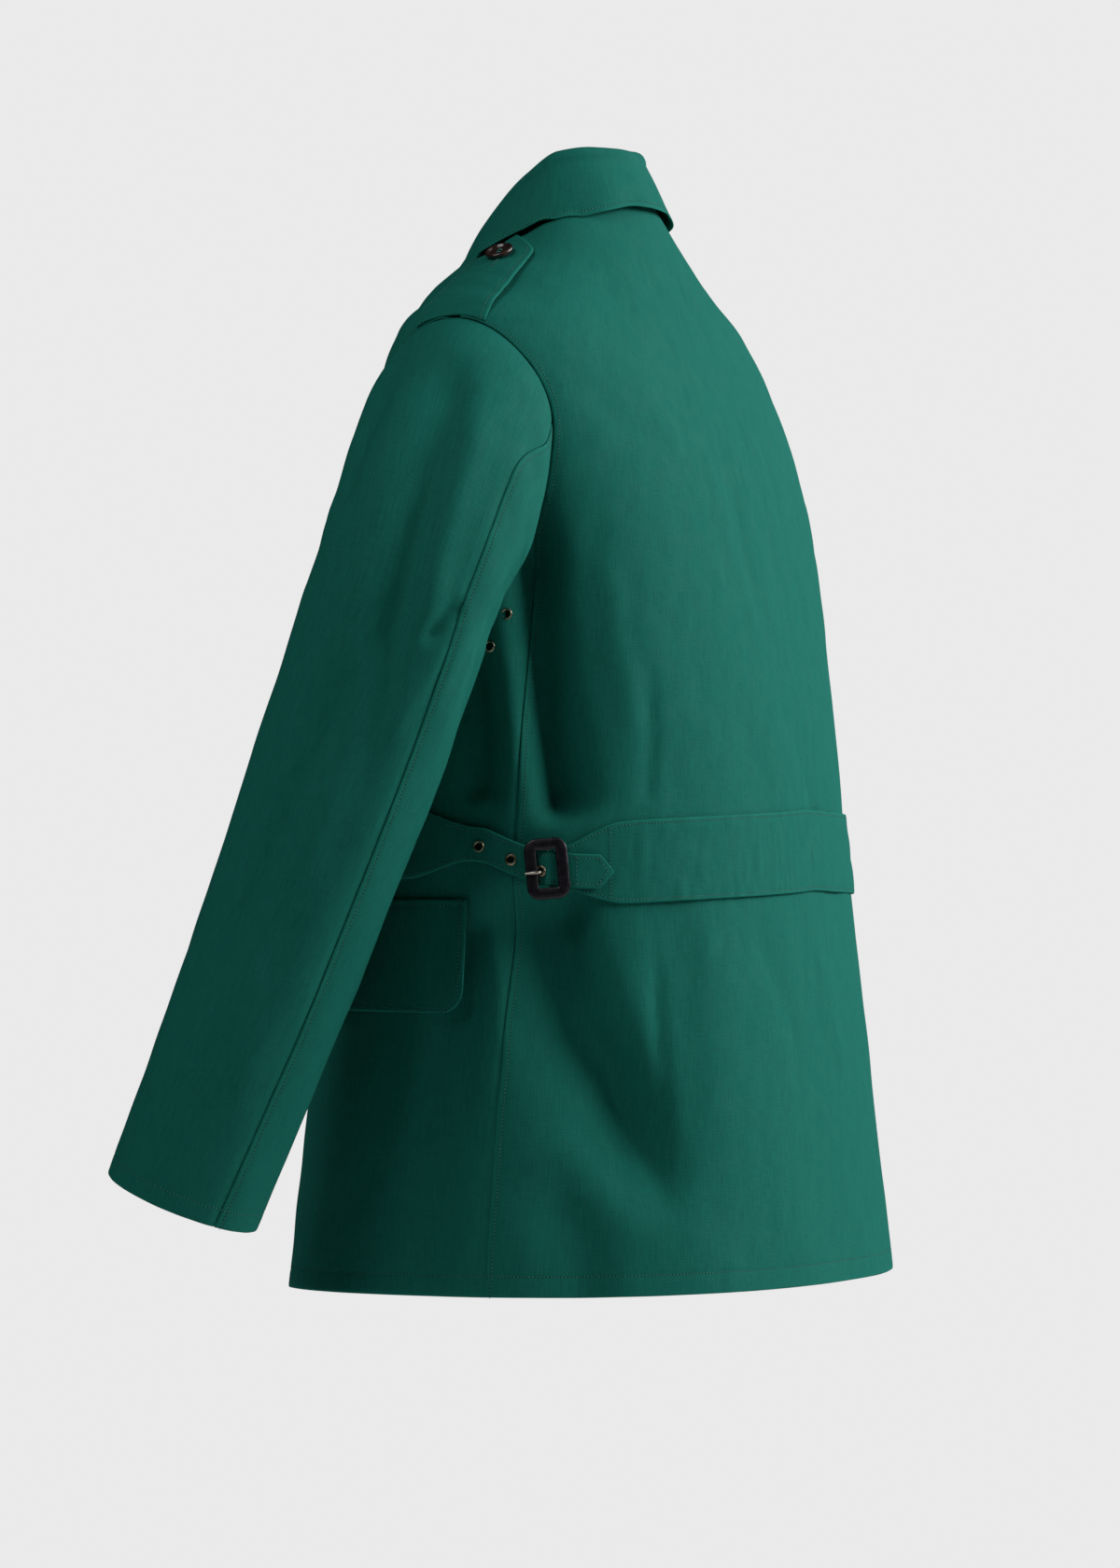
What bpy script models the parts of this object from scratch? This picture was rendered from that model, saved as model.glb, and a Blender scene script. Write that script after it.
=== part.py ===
"""A short double-breasted raincoat in bonded cotton, hollow and filled out as if worn.

Frame: +Z up, the fronts face -Y, the wearer's left is +X. The origin lies midway between the
two points where the shoulder seams meet the neck seam. Lengths are in metres.

Every cloth piece is a wall: an outer grid of points on a surface and an inner grid one cloth
thickness inside it. The body's surface is read by (angle, run): the angle runs round the body
from the wearer's left (0) over the back (90 degrees), and run climbs from the hem to the neck.
A sleeve's surface is read by (turn, along): the turn runs round the arm from the outer side (0)
over the back (90 degrees), and along climbs down from the armhole (0) over the arm (1) to the
cuff (2).
"""

import math

import bmesh
import bpy
import numpy as np
from mathutils import Matrix

# ---------------------------------------------------------------- driving sizes
CLOTH = 0.0015  # bonded cotton, two layers of cloth stuck together
STRAP_CLOTH = 0.0018  # straps, belt, flaps and shoulder tabs are made double
SEAM_GAP = 0.0003  # between two pieces that are sewn to each other
LAYER_GAP = 0.0010  # between a cloth piece and the one that it lies on
METAL_GAP = 0.0005  # between a button or an eyelet and its cloth

LEFT, RIGHT = 1, -1  # the sign of x on each side of the wearer

# Body sections from the hem to the neck seam. run is the way up the cloth.
BODY_COLUMNS = (
    "run", "height", "half_width", "back_depth", "front_depth",
    "centre_y", "squareness", "back_rise", "front_drop",
)
BODY_SECTIONS = (
    (0.000, -0.721, 0.243, 0.197, 0.197, 0.000, 2.30, 0.002, 0.005),  # hem
    (0.140, -0.581, 0.233, 0.181, 0.180, 0.000, 2.30, 0.006, 0.003),  # hip
    (0.296, -0.425, 0.221, 0.163, 0.160, 0.000, 2.30, 0.008, 0.000),  # waist
    (0.471, -0.250, 0.214, 0.140, 0.144, 0.000, 2.45, 0.003, 0.003),  # under the arm
    (0.581, -0.150, 0.212, 0.119, 0.127, -0.002, 2.45, 0.000, 0.016),  # across the chest
    (0.651, -0.090, 0.210, 0.098, 0.110, -0.006, 2.35, 0.000, 0.028),
    (0.691, -0.062, 0.200, 0.088, 0.100, -0.009, 2.20, 0.003, 0.036),  # shoulder point
    (0.741, -0.038, 0.158, 0.078, 0.097, -0.011, 2.10, 0.008, 0.043),
    (0.791, -0.015, 0.112, 0.068, 0.092, -0.013, 2.00, 0.015, 0.052),
    (0.836, 0.000, 0.072, 0.056, 0.073, -0.015, 2.00, 0.031, 0.068),  # neck seam
)
RISE_ROUNDING = 0.10  # softens the line between the back's rise and the front's drop
HEM_RUN, NECK_RUN = 0.0, 0.836

# The side seam sits behind the middle of the side: its y at each run.
SIDE_SEAM_RUNS = (0.000, 0.296, 0.516)
SIDE_SEAM_Y = (0.027, 0.039, 0.047)

# The armhole is an oval on the side of the body, given by its four outermost points (y, z).
ARMHOLE_TOP = (-0.013, -0.060)
ARMHOLE_BACK = (0.057, -0.140)
ARMHOLE_BOTTOM = (-0.008, -0.248)
ARMHOLE_FRONT = (-0.074, -0.152)
ARMHOLE_FULLNESS = {"top_back": 1.10, "top_front": 0.75, "bottom": 0.86}  # below 1 is squarer
# Seams that reach the armhole, as turns round it: shoulder, sleeve back, side, sleeve front.
SHOULDER_TURN, BACK_SEAM_TURN, JOIN_TURN, FRONT_SEAM_TURN = 0.0, 84.0, 126.0, 236.0

# Overlap of the fronts: each front edge lies this far past the middle.
OVERLAP = 0.085
FRONT_TOP_RUN = 0.728  # upper corner of each front edge
CHEST_RUN = 0.500  # where the front edge is level with the bottom of the armhole

# Angles round the neck seam at which the panels and the collar stand share their points.
NECK_ANGLES_BACK = tuple(range(0, 181, 15))
NECK_ANGLES_FRONT = (0.0, -22.5, -45.0, -67.5, -82.0)

# Sleeve sections of the left arm, from just under the armhole to the cuff.
SLEEVE_COLUMNS = ("height", "centre_x", "centre_y", "half_across", "half_front_to_back")
SLEEVE_SECTIONS = (
    (-0.270, 0.2745, -0.0240, 0.0555, 0.0655),
    (-0.350, 0.2830, -0.0495, 0.0575, 0.0640),  # elbow
    (-0.500, 0.3040, -0.1000, 0.0530, 0.0590),
    (-0.656, 0.3260, -0.1560, 0.0480, 0.0545),  # cuff
)
CUFF_TILT = 0.0055  # the outer side of the cuff hangs this much lower than its middle
CUFF_SLANT = 0.0020  # and so does its back
RIGHT_ARM_FORWARD = (-0.011, 0.012)  # the right arm against the left one: at the arm, the cuff
CAP_LENGTH = 0.060  # how far the sleeve head stands out before it turns down
CAP_FALL = 0.090
# The sleeve's back seam swings outward under the armhole: its turn, going down the sleeve.
BACK_SEAM_WAYS = (0.0, 0.10, 0.45, 1.5, 2.0)
BACK_SEAM_TURNS = (84.0, 83.5, 62.0, 61.0, 53.0)

# Collar: where it folds over and where its outer edge hangs, going round the neck from the
# middle of the back (0 degrees) to the front. "out" is measured from the neck's middle.
NECK_MIDDLE_Y = -0.0215
COLLAR_COLUMNS = ("from_back", "fold_out", "fold_height", "edge_from_back", "edge_out", "edge_height")
COLLAR_SECTIONS = (
    (0.0, 0.0500, 0.0655, 0.0, 0.0720, 0.0262),
    (20.0, 0.0510, 0.0660, 20.0, 0.0728, 0.0262),
    (45.0, 0.0535, 0.0660, 45.0, 0.0810, 0.0215),
    (70.0, 0.0580, 0.0625, 70.0, 0.0860, 0.0112),
    (90.0, 0.0615, 0.0480, 92.0, 0.0938, 0.0015),
    (120.0, 0.0640, 0.0180, 118.0, 0.1100, -0.0275),
    (150.0, 0.0670, -0.0090, 141.0, 0.1192, -0.0675),
    (172.0, 0.0680, -0.0230, 157.0, 0.1215, -0.1000),
)
STAND_END = 158.0  # the stand stops a little short of the front edges
COLLAR_SAG = 0.0045  # the edge hangs lower on the wearer's right, behind the shoulder
COLLAR_ROLL = 0.0045  # how far the fold bulges out
COLLAR_BULGE = 0.0010  # and the fall, half way down

# Waist belt, straps and buckles
BELT_HEIGHTS = (-0.4225, -0.4300, -0.4340)  # middle of the back, anchor seam, buckle
BELT_ANCHOR_ANGLE = 27.0
BUCKLE_ANGLE = 16.0
BELT_HALF_WIDE = 0.0280
BELT_HALF_NARROW = 0.0130
BUCKLE_HALF = (0.0157, 0.0210)  # outer half length along the belt, half height
BUCKLE_BAND = 0.0090  # width of the covered frame
BUCKLE_HALF_THICK = 0.0024
BUCKLE_CORNER = 0.0075
BUCKLE_STANDS = 0.0083  # middle of the frame above the body
BAR_RADIUS = 0.0011
BAR_STANDS = 0.0048
BAR_OFFSET = 0.0010
PRONG_RADIUS = 0.0011
PRONG_HEIGHT = -0.0022  # it lies a little below the belt's middle
STRAP_HALF = 0.0116
STRAP_WAYS = (-0.160, -0.060, -0.030, -0.0157, -0.0075, 0.0010, 0.0080, 0.0160, 0.0450)
STRAP_STANDS = (0.0020, 0.0036, 0.0044, 0.0043, 0.0045, 0.0074, 0.0046, 0.0046, 0.0046)
WAIST_RADIUS = 0.222  # turns an angle at the sides of the waist into a length
STRAP_FRONT_ANGLE = -26.0
STRAP_FRONT_HALF = 0.0240
EYELET_PITCH = 0.0225
EYELET_OUTER, EYELET_INNER, EYELET_PROUD = 0.0041, 0.0023, 0.0008

# Pocket flaps
FLAP_TOP, FLAP_BOTTOM = -0.4545, -0.5310
FLAP_REAR_Y = 0.0060
FLAP_LENGTH = 0.170
FLAP_CORNER = 0.0160
FLAP_LIFT = 0.0045  # its lower edge hangs a little away from the coat

# Shoulder tabs: sizes at the armhole and at the pointed end
TAB_END_X = 0.1000  # its base lies along the armhole seam
TAB_MIDDLE_Y = (-0.0180, -0.0175)
TAB_HALF_WIDTHS = (0.0270, 0.0215)
TAB_POINT = 0.0180
TAB_BUTTON_X = 0.1120

# Buttons
BIG_BUTTON_RADIUS, SMALL_BUTTON_RADIUS = 0.0125, 0.0100
BUTTON_THICK = 0.0040
BUTTON_COLUMN_X = 0.068
BUTTON_HEIGHTS = (-0.180, -0.320, -0.460)

VENT_HOLES = ((0.0300, -0.2620), (0.0190, -0.2840))  # (y, z) under each arm

# Largest folds of the body: depth is outwards if above zero. Angles in degrees.
FOLD_COLUMNS = (
    "angle_top", "run_top", "angle_bottom", "run_bottom",
    "half_width_top", "half_width_bottom", "depth",
)
BODY_FOLDS = (
    # left side
    (23.0, 0.560, 24.0, 0.345, 0.018, 0.022, -0.012),  # hollow from the armhole to the buckle
    (12.0, 0.490, 10.0, 0.335, 0.012, 0.014, 0.005),  # ridge on the side seam
    (-2.0, 0.470, 4.0, 0.330, 0.012, 0.012, -0.008),
    (22.0, 0.285, 36.0, 0.030, 0.016, 0.030, -0.010),  # drag line from the buckle to the hem
    (-1.0, 0.290, -2.0, -0.120, 0.014, 0.020, -0.010),  # hollow in front of the side seam
    (40.0, 0.290, 40.0, 0.040, 0.018, 0.026, -0.004),
    # right side
    (158.0, 0.570, 155.0, 0.345, 0.018, 0.022, -0.011),
    (169.0, 0.490, 170.0, 0.335, 0.012, 0.014, 0.005),
    (183.0, 0.470, 177.0, 0.330, 0.012, 0.012, -0.008),
    (157.0, 0.285, 146.0, 0.020, 0.016, 0.030, -0.009),
    (182.0, 0.290, 184.0, -0.120, 0.014, 0.022, -0.009),
    # fronts
    (-52.0, 0.560, -58.0, 0.330, 0.022, 0.030, -0.004),
    (232.0, 0.560, 238.0, 0.330, 0.022, 0.030, -0.004),
    (-50.0, 0.240, -60.0, -0.150, 0.022, 0.040, -0.006),
    (230.0, 0.240, 241.0, -0.150, 0.022, 0.040, -0.006),
)

SLEEVE_FOLD_COLUMNS = (
    "turn_top", "along_top", "turn_bottom", "along_bottom",
    "half_width_top", "half_width_bottom", "depth",
)
SLEEVE_FOLDS = {
    LEFT: (
        (18.0, 0.45, 14.0, 1.30, 0.014, 0.016, -0.005),
        (-32.0, 1.05, -28.0, 1.80, 0.014, 0.014, -0.004),
        (112.0, 0.40, 100.0, 1.15, 0.012, 0.012, -0.006),
    ),
    RIGHT: (
        (12.0, 0.50, 20.0, 1.35, 0.014, 0.016, -0.005),
        (-28.0, 1.00, -36.0, 1.75, 0.014, 0.014, -0.004),
        (108.0, 0.45, 102.0, 1.10, 0.012, 0.012, -0.005),
    ),
}


# ---------------------------------------------------------------- small helpers
def smooth_through(knots, values, at):
    """A smooth curve through the knots that never swings past them (monotone cubic)."""
    knots, values = np.asarray(knots, float), np.asarray(values, float)
    step = np.diff(knots)
    slope = np.diff(values) / step
    tangent = np.concatenate([slope[:1], np.zeros(len(knots) - 2), slope[-1:]])
    for i in range(1, len(knots) - 1):
        before, after = slope[i - 1], slope[i]
        if before * after > 0:
            wide, near = 2 * step[i] + step[i - 1], step[i] + 2 * step[i - 1]
            tangent[i] = (wide + near) / (wide / before + near / after)
    at = np.clip(np.asarray(at, float), knots[0], knots[-1])
    i = np.clip(np.searchsorted(knots, at, side="right") - 1, 0, len(step) - 1)
    t = (at - knots[i]) / step[i]
    rise = (3 - 2 * t) * t * t
    return (
        (1 - rise) * values[i]
        + rise * values[i + 1]
        + t * (1 - t) * step[i] * ((1 - t) * tangent[i] - t * tangent[i + 1])
    )


def ease(t):
    """0 before 0, 1 after 1, smooth between."""
    t = np.clip(t, 0.0, 1.0)
    return t * t * (3 - 2 * t)


def mix(a, b, t):
    return a + (b - a) * t


def unit(v):
    return v / np.linalg.norm(v, axis=-1, keepdims=True)


def bisect(below, low, high, rounds=40):
    """Where `below` turns from true to false between the arrays low and high."""
    low, high = np.array(low, float), np.array(high, float)
    for _ in range(rounds):
        middle = (low + high) / 2
        inside = below(middle)
        low, high = np.where(inside, middle, low), np.where(inside, high, middle)
    return (low + high) / 2


# ---------------------------------------------------------------- body surface
def body_ring(run):
    knots = [section[0] for section in BODY_SECTIONS]
    return {
        name: smooth_through(knots, [section[i] for section in BODY_SECTIONS], run)
        for i, name in enumerate(BODY_COLUMNS)
    }


def body_point(angle, run):
    """Point of the smooth body; angle in radians."""
    ring = body_ring(run)
    c, s = np.cos(angle), np.sin(angle)
    depth = np.where(s >= 0, ring["back_depth"], ring["front_depth"])
    power = ring["squareness"]
    radius = (np.abs(c / ring["half_width"]) ** power + np.abs(s / depth) ** power) ** (-1 / power)
    backward = np.hypot(np.maximum(s, 0), RISE_ROUNDING) - RISE_ROUNDING
    backward = backward / (math.hypot(1, RISE_ROUNDING) - RISE_ROUNDING)
    height = (
        ring["height"] + ring["back_rise"] * backward
        - ring["front_drop"] * np.maximum(-s, 0) ** 2
    )
    return np.stack([radius * c, ring["centre_y"] + radius * s, height], axis=-1)


def body_normal(angle, run):
    small = 1e-3
    low = np.maximum(run - small, HEM_RUN)
    high = np.minimum(run + small, NECK_RUN)
    round_body = body_point(angle + small, run) - body_point(angle - small, run)
    up_body = body_point(angle, high) - body_point(angle, low)
    return unit(np.cross(round_body, up_body))


def fold_depth(folds, angle, run, radius):
    """Sum of the folds at (angle in radians, run); radius turns an angle into a distance."""
    total = np.zeros(np.broadcast(angle, run).shape)
    for angle_top, run_top, angle_bottom, run_bottom, wide_top, wide_bottom, depth in folds:
        down = (run_top - run) / (run_top - run_bottom)
        middle = np.radians(mix(angle_top, angle_bottom, down))
        away = (angle - middle + math.pi) % (2 * math.pi) - math.pi
        width = mix(wide_top, wide_bottom, np.clip(down, 0, 1))
        ends = np.sin(np.pi * np.clip(down, 0, 1)) ** 0.8
        total = total + depth * ends * np.exp(-((away * radius / width) ** 2))
    return total


def body_surface(angle, run, lift=0.0):
    """Point of the folded body, moved out by lift."""
    fold = fold_depth(BODY_FOLDS, angle, run, 0.21)
    return body_point(angle, run) + body_normal(angle, run) * (fold + lift)[..., None]


def run_at_height(z):
    """The run at which the side of the body is at height z."""
    return bisect(lambda run: body_ring(run)["height"] < z, np.full(np.shape(z), HEM_RUN),
                  np.full(np.shape(z), NECK_RUN))


def beside(y, z):
    """(angle, run) of the point of the left side of the body at (y, z)."""
    run = run_at_height(z)
    ring = body_ring(run)
    off = y - ring["centre_y"]
    depth = np.where(off >= 0, ring["back_depth"], ring["front_depth"])
    share = np.clip(1 - np.abs(off / depth) ** ring["squareness"], 0, 1)
    return np.arctan2(off, ring["half_width"] * share ** (1 / ring["squareness"])), run


def above(x, y):
    """(angle, run) of the point on the left shoulder at (x, y)."""

    def inside(run):
        ring = body_ring(run)
        off = y - ring["centre_y"]
        depth = np.where(off >= 0, ring["back_depth"], ring["front_depth"])
        power = ring["squareness"]
        return np.abs(x / ring["half_width"]) ** power + np.abs(off / depth) ** power < 1

    shape = np.broadcast(x, y).shape
    run = bisect(inside, np.full(shape, 0.60), np.full(shape, NECK_RUN))
    return np.arctan2(y - body_ring(run)["centre_y"], x), run


def angle_at_x(x, run):
    """The front angle at which the ring at this run reaches x (left side, x above zero)."""
    low, high = np.full(np.shape(run), -math.pi / 2), np.zeros(np.shape(run))
    return bisect(lambda angle: body_point(angle, run)[..., 0] < x, low, high)


def armhole(turn, grow=0.0):
    """(y, z) of the armhole's oval at a turn in degrees: 0 top, 90 back, 180 bottom."""
    turn = np.asarray(turn, float) % 360
    t = np.radians(turn)
    side_y = np.where(turn < 180, ARMHOLE_BACK[0], ARMHOLE_FRONT[0])
    side_z = np.where(turn < 180, ARMHOLE_BACK[1], ARMHOLE_FRONT[1])
    upper = (turn < 90) | (turn > 270)
    end_y = np.where(upper, ARMHOLE_TOP[0], ARMHOLE_BOTTOM[0])
    end_z = np.where(upper, ARMHOLE_TOP[1], ARMHOLE_BOTTOM[1])
    fullness = np.where(
        upper, np.where(turn < 180, ARMHOLE_FULLNESS["top_back"], ARMHOLE_FULLNESS["top_front"]),
        ARMHOLE_FULLNESS["bottom"])
    y = end_y + (side_y - end_y) * np.abs(np.sin(t)) ** fullness
    z = side_z + (end_z - side_z) * np.abs(np.cos(t)) ** fullness
    middle_y, middle_z = -0.008, -0.155
    reach = np.hypot(y - middle_y, z - middle_z)
    return y + (y - middle_y) / reach * grow, z + (z - middle_z) / reach * grow


def mirrored(angle, side):
    """The same place on the other side of the body, for the wearer's right."""
    return angle if side == LEFT else math.pi - angle


# ---------------------------------------------------------------- sleeve surface
def sleeve_section(turn, side, share):
    """Points of the plain arm tube, from just under the armhole (0) to the cuff (1), left-hand;
    and the direction in which the tube runs down."""
    heights = [section[0] for section in SLEEVE_SECTIONS]
    height = mix(heights[0], heights[-1], share)

    def column(name, at):
        number = SLEEVE_COLUMNS.index(name)
        values = [section[number] for section in reversed(SLEEVE_SECTIONS)]
        return smooth_through(heights[::-1], values, at)

    def centre_at(at):
        down = (at - heights[0]) / (heights[-1] - heights[0])
        forward = mix(*RIGHT_ARM_FORWARD, ease(1.3 * down)) * (side == RIGHT)
        return np.stack([column("centre_x", at), column("centre_y", at) - forward, at], axis=-1)

    small = 0.004
    high = np.minimum(height + small, heights[0])
    low = np.maximum(height - small, heights[-1])
    axis = unit(centre_at(low) - centre_at(high))
    across = unit(np.cross(np.array([0.0, 1.0, 0.0]), -axis))
    backward = np.cross(across, axis)
    outward = column("half_across", height) * np.cos(turn)
    behind = column("half_front_to_back", height) * np.sin(turn)
    tilt = ease(share) * (CUFF_TILT * np.cos(turn) + CUFF_SLANT * np.sin(turn))
    point = centre_at(height) + across * outward[..., None] + backward * behind[..., None]
    return point + axis * tilt[..., None], axis


def sleeve_plain(turn, along, side):
    """Left-hand point of the unfolded sleeve; turn in radians."""
    turn, along = np.broadcast_arrays(turn, along)
    arm, axis = sleeve_section(turn, side, np.clip(along - 1, 0, 1))
    y, z = armhole(np.degrees(turn), -SEAM_GAP)
    angle, run = beside(y, z)
    outer = (1 + np.cos(turn)) / 2
    start = body_surface(mirrored(angle, side), run, 2 * SEAM_GAP * (1 - outer))
    start = start * np.array([side, 1, 1])
    leave = unit(np.stack([
        np.full(turn.shape, 0.90), 0.30 * np.sin(turn), -0.40 - 0.85 * (1 - outer)], axis=-1))
    first = start + leave * (0.012 + (CAP_LENGTH - 0.012) * outer**0.7)[..., None]
    last = arm - axis * (0.012 + (CAP_FALL - 0.012) * outer**0.8)[..., None]
    t = np.clip(along, 0, 1)[..., None]
    cap = (
        (1 - t) ** 3 * start + 3 * (1 - t) ** 2 * t * first + 3 * (1 - t) * t * t * last
        + t**3 * arm
    )
    return np.where((along < 1)[..., None], cap, arm)


def sleeve_surface(turn, along, side, lift=0.0):
    """Point of the folded sleeve on its own side, moved out by lift."""
    small = 1e-3
    low, high = np.maximum(along - small, 0), np.minimum(along + small, 2)
    turn, along = np.broadcast_arrays(turn, along)
    round_arm = sleeve_plain(turn + small, along, side) - sleeve_plain(turn - small, along, side)
    down_arm = sleeve_plain(turn, high, side) - sleeve_plain(turn, low, side)
    normal = unit(np.cross(down_arm, round_arm))
    fold = fold_depth(SLEEVE_FOLDS[side], turn, along, 0.06)
    point = sleeve_plain(turn, along, side) + normal * (fold + lift)[..., None]
    return point * np.array([side, 1, 1])


# ---------------------------------------------------------------- making objects
def material(name, colour, roughness, metallic=0.0):
    made = bpy.data.materials.new(name)
    made.use_nodes = True
    shader = made.node_tree.nodes["Principled BSDF"]
    shader.inputs["Base Color"].default_value = (*colour, 1.0)
    shader.inputs["Roughness"].default_value = roughness
    shader.inputs["Metallic"].default_value = metallic
    made.diffuse_color = (*colour, 1.0)
    return made


def place(name, mesh, finish, collection):
    mesh.materials.append(finish)
    made = bpy.data.objects.new(name, mesh)
    collection.objects.link(made)
    mesh.shade_smooth()
    mesh.set_sharp_from_angle(angle=math.radians(40))
    return made


def wall(name, outer, inner, finish, collection, grids=None):
    """A closed wall between two sets of points that are joined alike.

    Each grid is an array of point numbers; without any, the points themselves lie in a grid.
    """
    if grids is None:
        grids = [np.arange(outer[..., 0].size).reshape(outer.shape[:2])]
    points = np.concatenate([outer.reshape(-1, 3), inner.reshape(-1, 3)])
    count = len(points) // 2
    rings = [
        (grid[r, c], grid[r, c + 1], grid[r + 1, c + 1], grid[r + 1, c])
        for grid in grids for r in range(grid.shape[0] - 1) for c in range(grid.shape[1] - 1)
    ]
    edges = {(ring[i - 1], ring[i]) for ring in rings for i in range(4)}
    faces = list(rings) + [[i + count for i in reversed(ring)] for ring in rings]
    faces += [(b, a, a + count, b + count) for a, b in sorted(edges) if (b, a) not in edges]
    mesh = bpy.data.meshes.new(name)
    mesh.from_pydata(points.tolist(), [], faces)
    shape = bmesh.new()
    shape.from_mesh(mesh)
    bmesh.ops.recalc_face_normals(shape, faces=shape.faces)
    shape.to_mesh(mesh)
    shape.free()
    return place(name, mesh, finish, collection)


def frame_on(angle, run, lift):
    """Place and axes on the body: x round the body, y up it, z out of it."""
    small = 1e-3
    at = body_point(angle, run) + body_normal(angle, run) * lift
    out = body_normal(angle, run)
    up = unit(body_point(angle, run + small) - body_point(angle, run - small))
    return at, np.stack([np.cross(up, out), up, out], axis=-1)


def turned(name, profile, steps, at, axes, finish, collection):
    """A closed (radius, height) profile turned round the local z axis, stood at a place."""
    mesh = bpy.data.meshes.new(name)
    mesh.from_pydata([(radius, 0.0, height) for radius, height in profile], [
        (i, (i + 1) % len(profile)) for i in range(len(profile))], [])
    made = place(name, mesh, finish, collection)
    screw = made.modifiers.new("Turn", "SCREW")
    screw.steps = screw.render_steps = steps
    screw.use_merge_vertices = True
    screw.merge_threshold = 1e-5
    screw.use_smooth_shade = True
    stand(made, at, axes)
    return made


def stand(made, at, axes):
    """Places an object by a point and a matrix whose columns are its axes."""
    turn = np.eye(4)
    turn[:3, :3], turn[:3, 3] = axes, at
    made.matrix_world = Matrix(turn.tolist())
    return made


# ---------------------------------------------------------------- cloth panels
def filled_outline(bottom, top, start_side, end_side):
    """Inside points of a four-sided outline in (angle, run), from its four edges.

    bottom and top have one row per column of the grid; the sides one row per row of it.
    """
    u = np.linspace(0, 1, len(bottom))[None, :, None]
    v = np.linspace(0, 1, len(start_side))[:, None, None]
    across = (1 - v) * bottom[None] + v * top[None]
    upward = (1 - u) * start_side[:, None] + u * end_side[:, None]
    corners = (
        (1 - u) * (1 - v) * bottom[0] + u * (1 - v) * bottom[-1]
        + (1 - u) * v * top[0] + u * v * top[-1]
    )
    return across + upward - corners


def side_seam(runs, shift):
    """(angle, run) up the left side seam, shifted round the body by shift metres."""
    ring = body_ring(runs)
    y = smooth_through(SIDE_SEAM_RUNS, SIDE_SEAM_Y, runs) - ring["centre_y"]
    share = (1 - np.abs(y / ring["back_depth"]) ** ring["squareness"]) ** (1 / ring["squareness"])
    angle = np.arctan2(y, ring["half_width"] * share)
    return np.stack([angle + shift / ring["half_width"], runs], axis=-1)


def turns_between(first, last, steps):
    """Turns round the armhole at which both the body and the sleeve have points."""
    return np.linspace(first, last, steps + 1)


ROUND_BACK = np.concatenate([turns_between(SHOULDER_TURN, BACK_SEAM_TURN, 4),
                             turns_between(BACK_SEAM_TURN, JOIN_TURN, 2)[1:]])
ROUND_UNDER = turns_between(JOIN_TURN, FRONT_SEAM_TURN, 5)
ROUND_FRONT = turns_between(FRONT_SEAM_TURN, 360.0 + SHOULDER_TURN, 6)


def armhole_edge(turns):
    """(angle, run) along the body's side of the armhole."""
    y, z = armhole(turns, SEAM_GAP / 2)
    return np.stack(beside(y, z), axis=-1)


def join_run():
    """The run at which the side seam meets the armhole."""
    return float(armhole_edge(np.array([JOIN_TURN]))[0, 1])


def shoulder_edge(start_run, shift, count):
    """(angle, run) up the shoulder seam to the neck, shifted round the body by shift metres."""
    runs = np.linspace(start_run, NECK_RUN - SEAM_GAP, count)
    return np.stack([shift / body_ring(runs)["half_width"], runs], axis=-1)


def neck_edge(angles):
    return np.stack([angles, np.full(angles.shape, NECK_RUN - SEAM_GAP)], axis=-1)


def back_grid():
    """(angle, run) grid of the back panel, from the left side seam to the right one."""
    half_gap = SEAM_GAP / 2
    seam = side_seam(np.linspace(HEM_RUN, join_run(), 15), half_gap)
    hole = armhole_edge(ROUND_BACK[::-1])
    hole[0] = seam[-1]
    shoulder = shoulder_edge(hole[-1, 1], half_gap, 6)
    hole[-1] = shoulder[0]
    left = np.concatenate([seam, hole[1:]])
    neck = neck_edge(np.radians(NECK_ANGLES_BACK))
    neck[0, 0], neck[-1, 0] = shoulder[-1, 0], math.pi - shoulder[-1, 0]
    other_side = [math.pi, 0]
    top = np.concatenate([shoulder, neck[1:-1], shoulder[::-1] * [-1, 1] + other_side])
    hem = np.stack([np.linspace(left[0, 0], math.pi - left[0, 0], len(top)),
                    np.zeros(len(top))], axis=-1)
    return filled_outline(hem, top, left, left * [-1, 1] + other_side)


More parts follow.
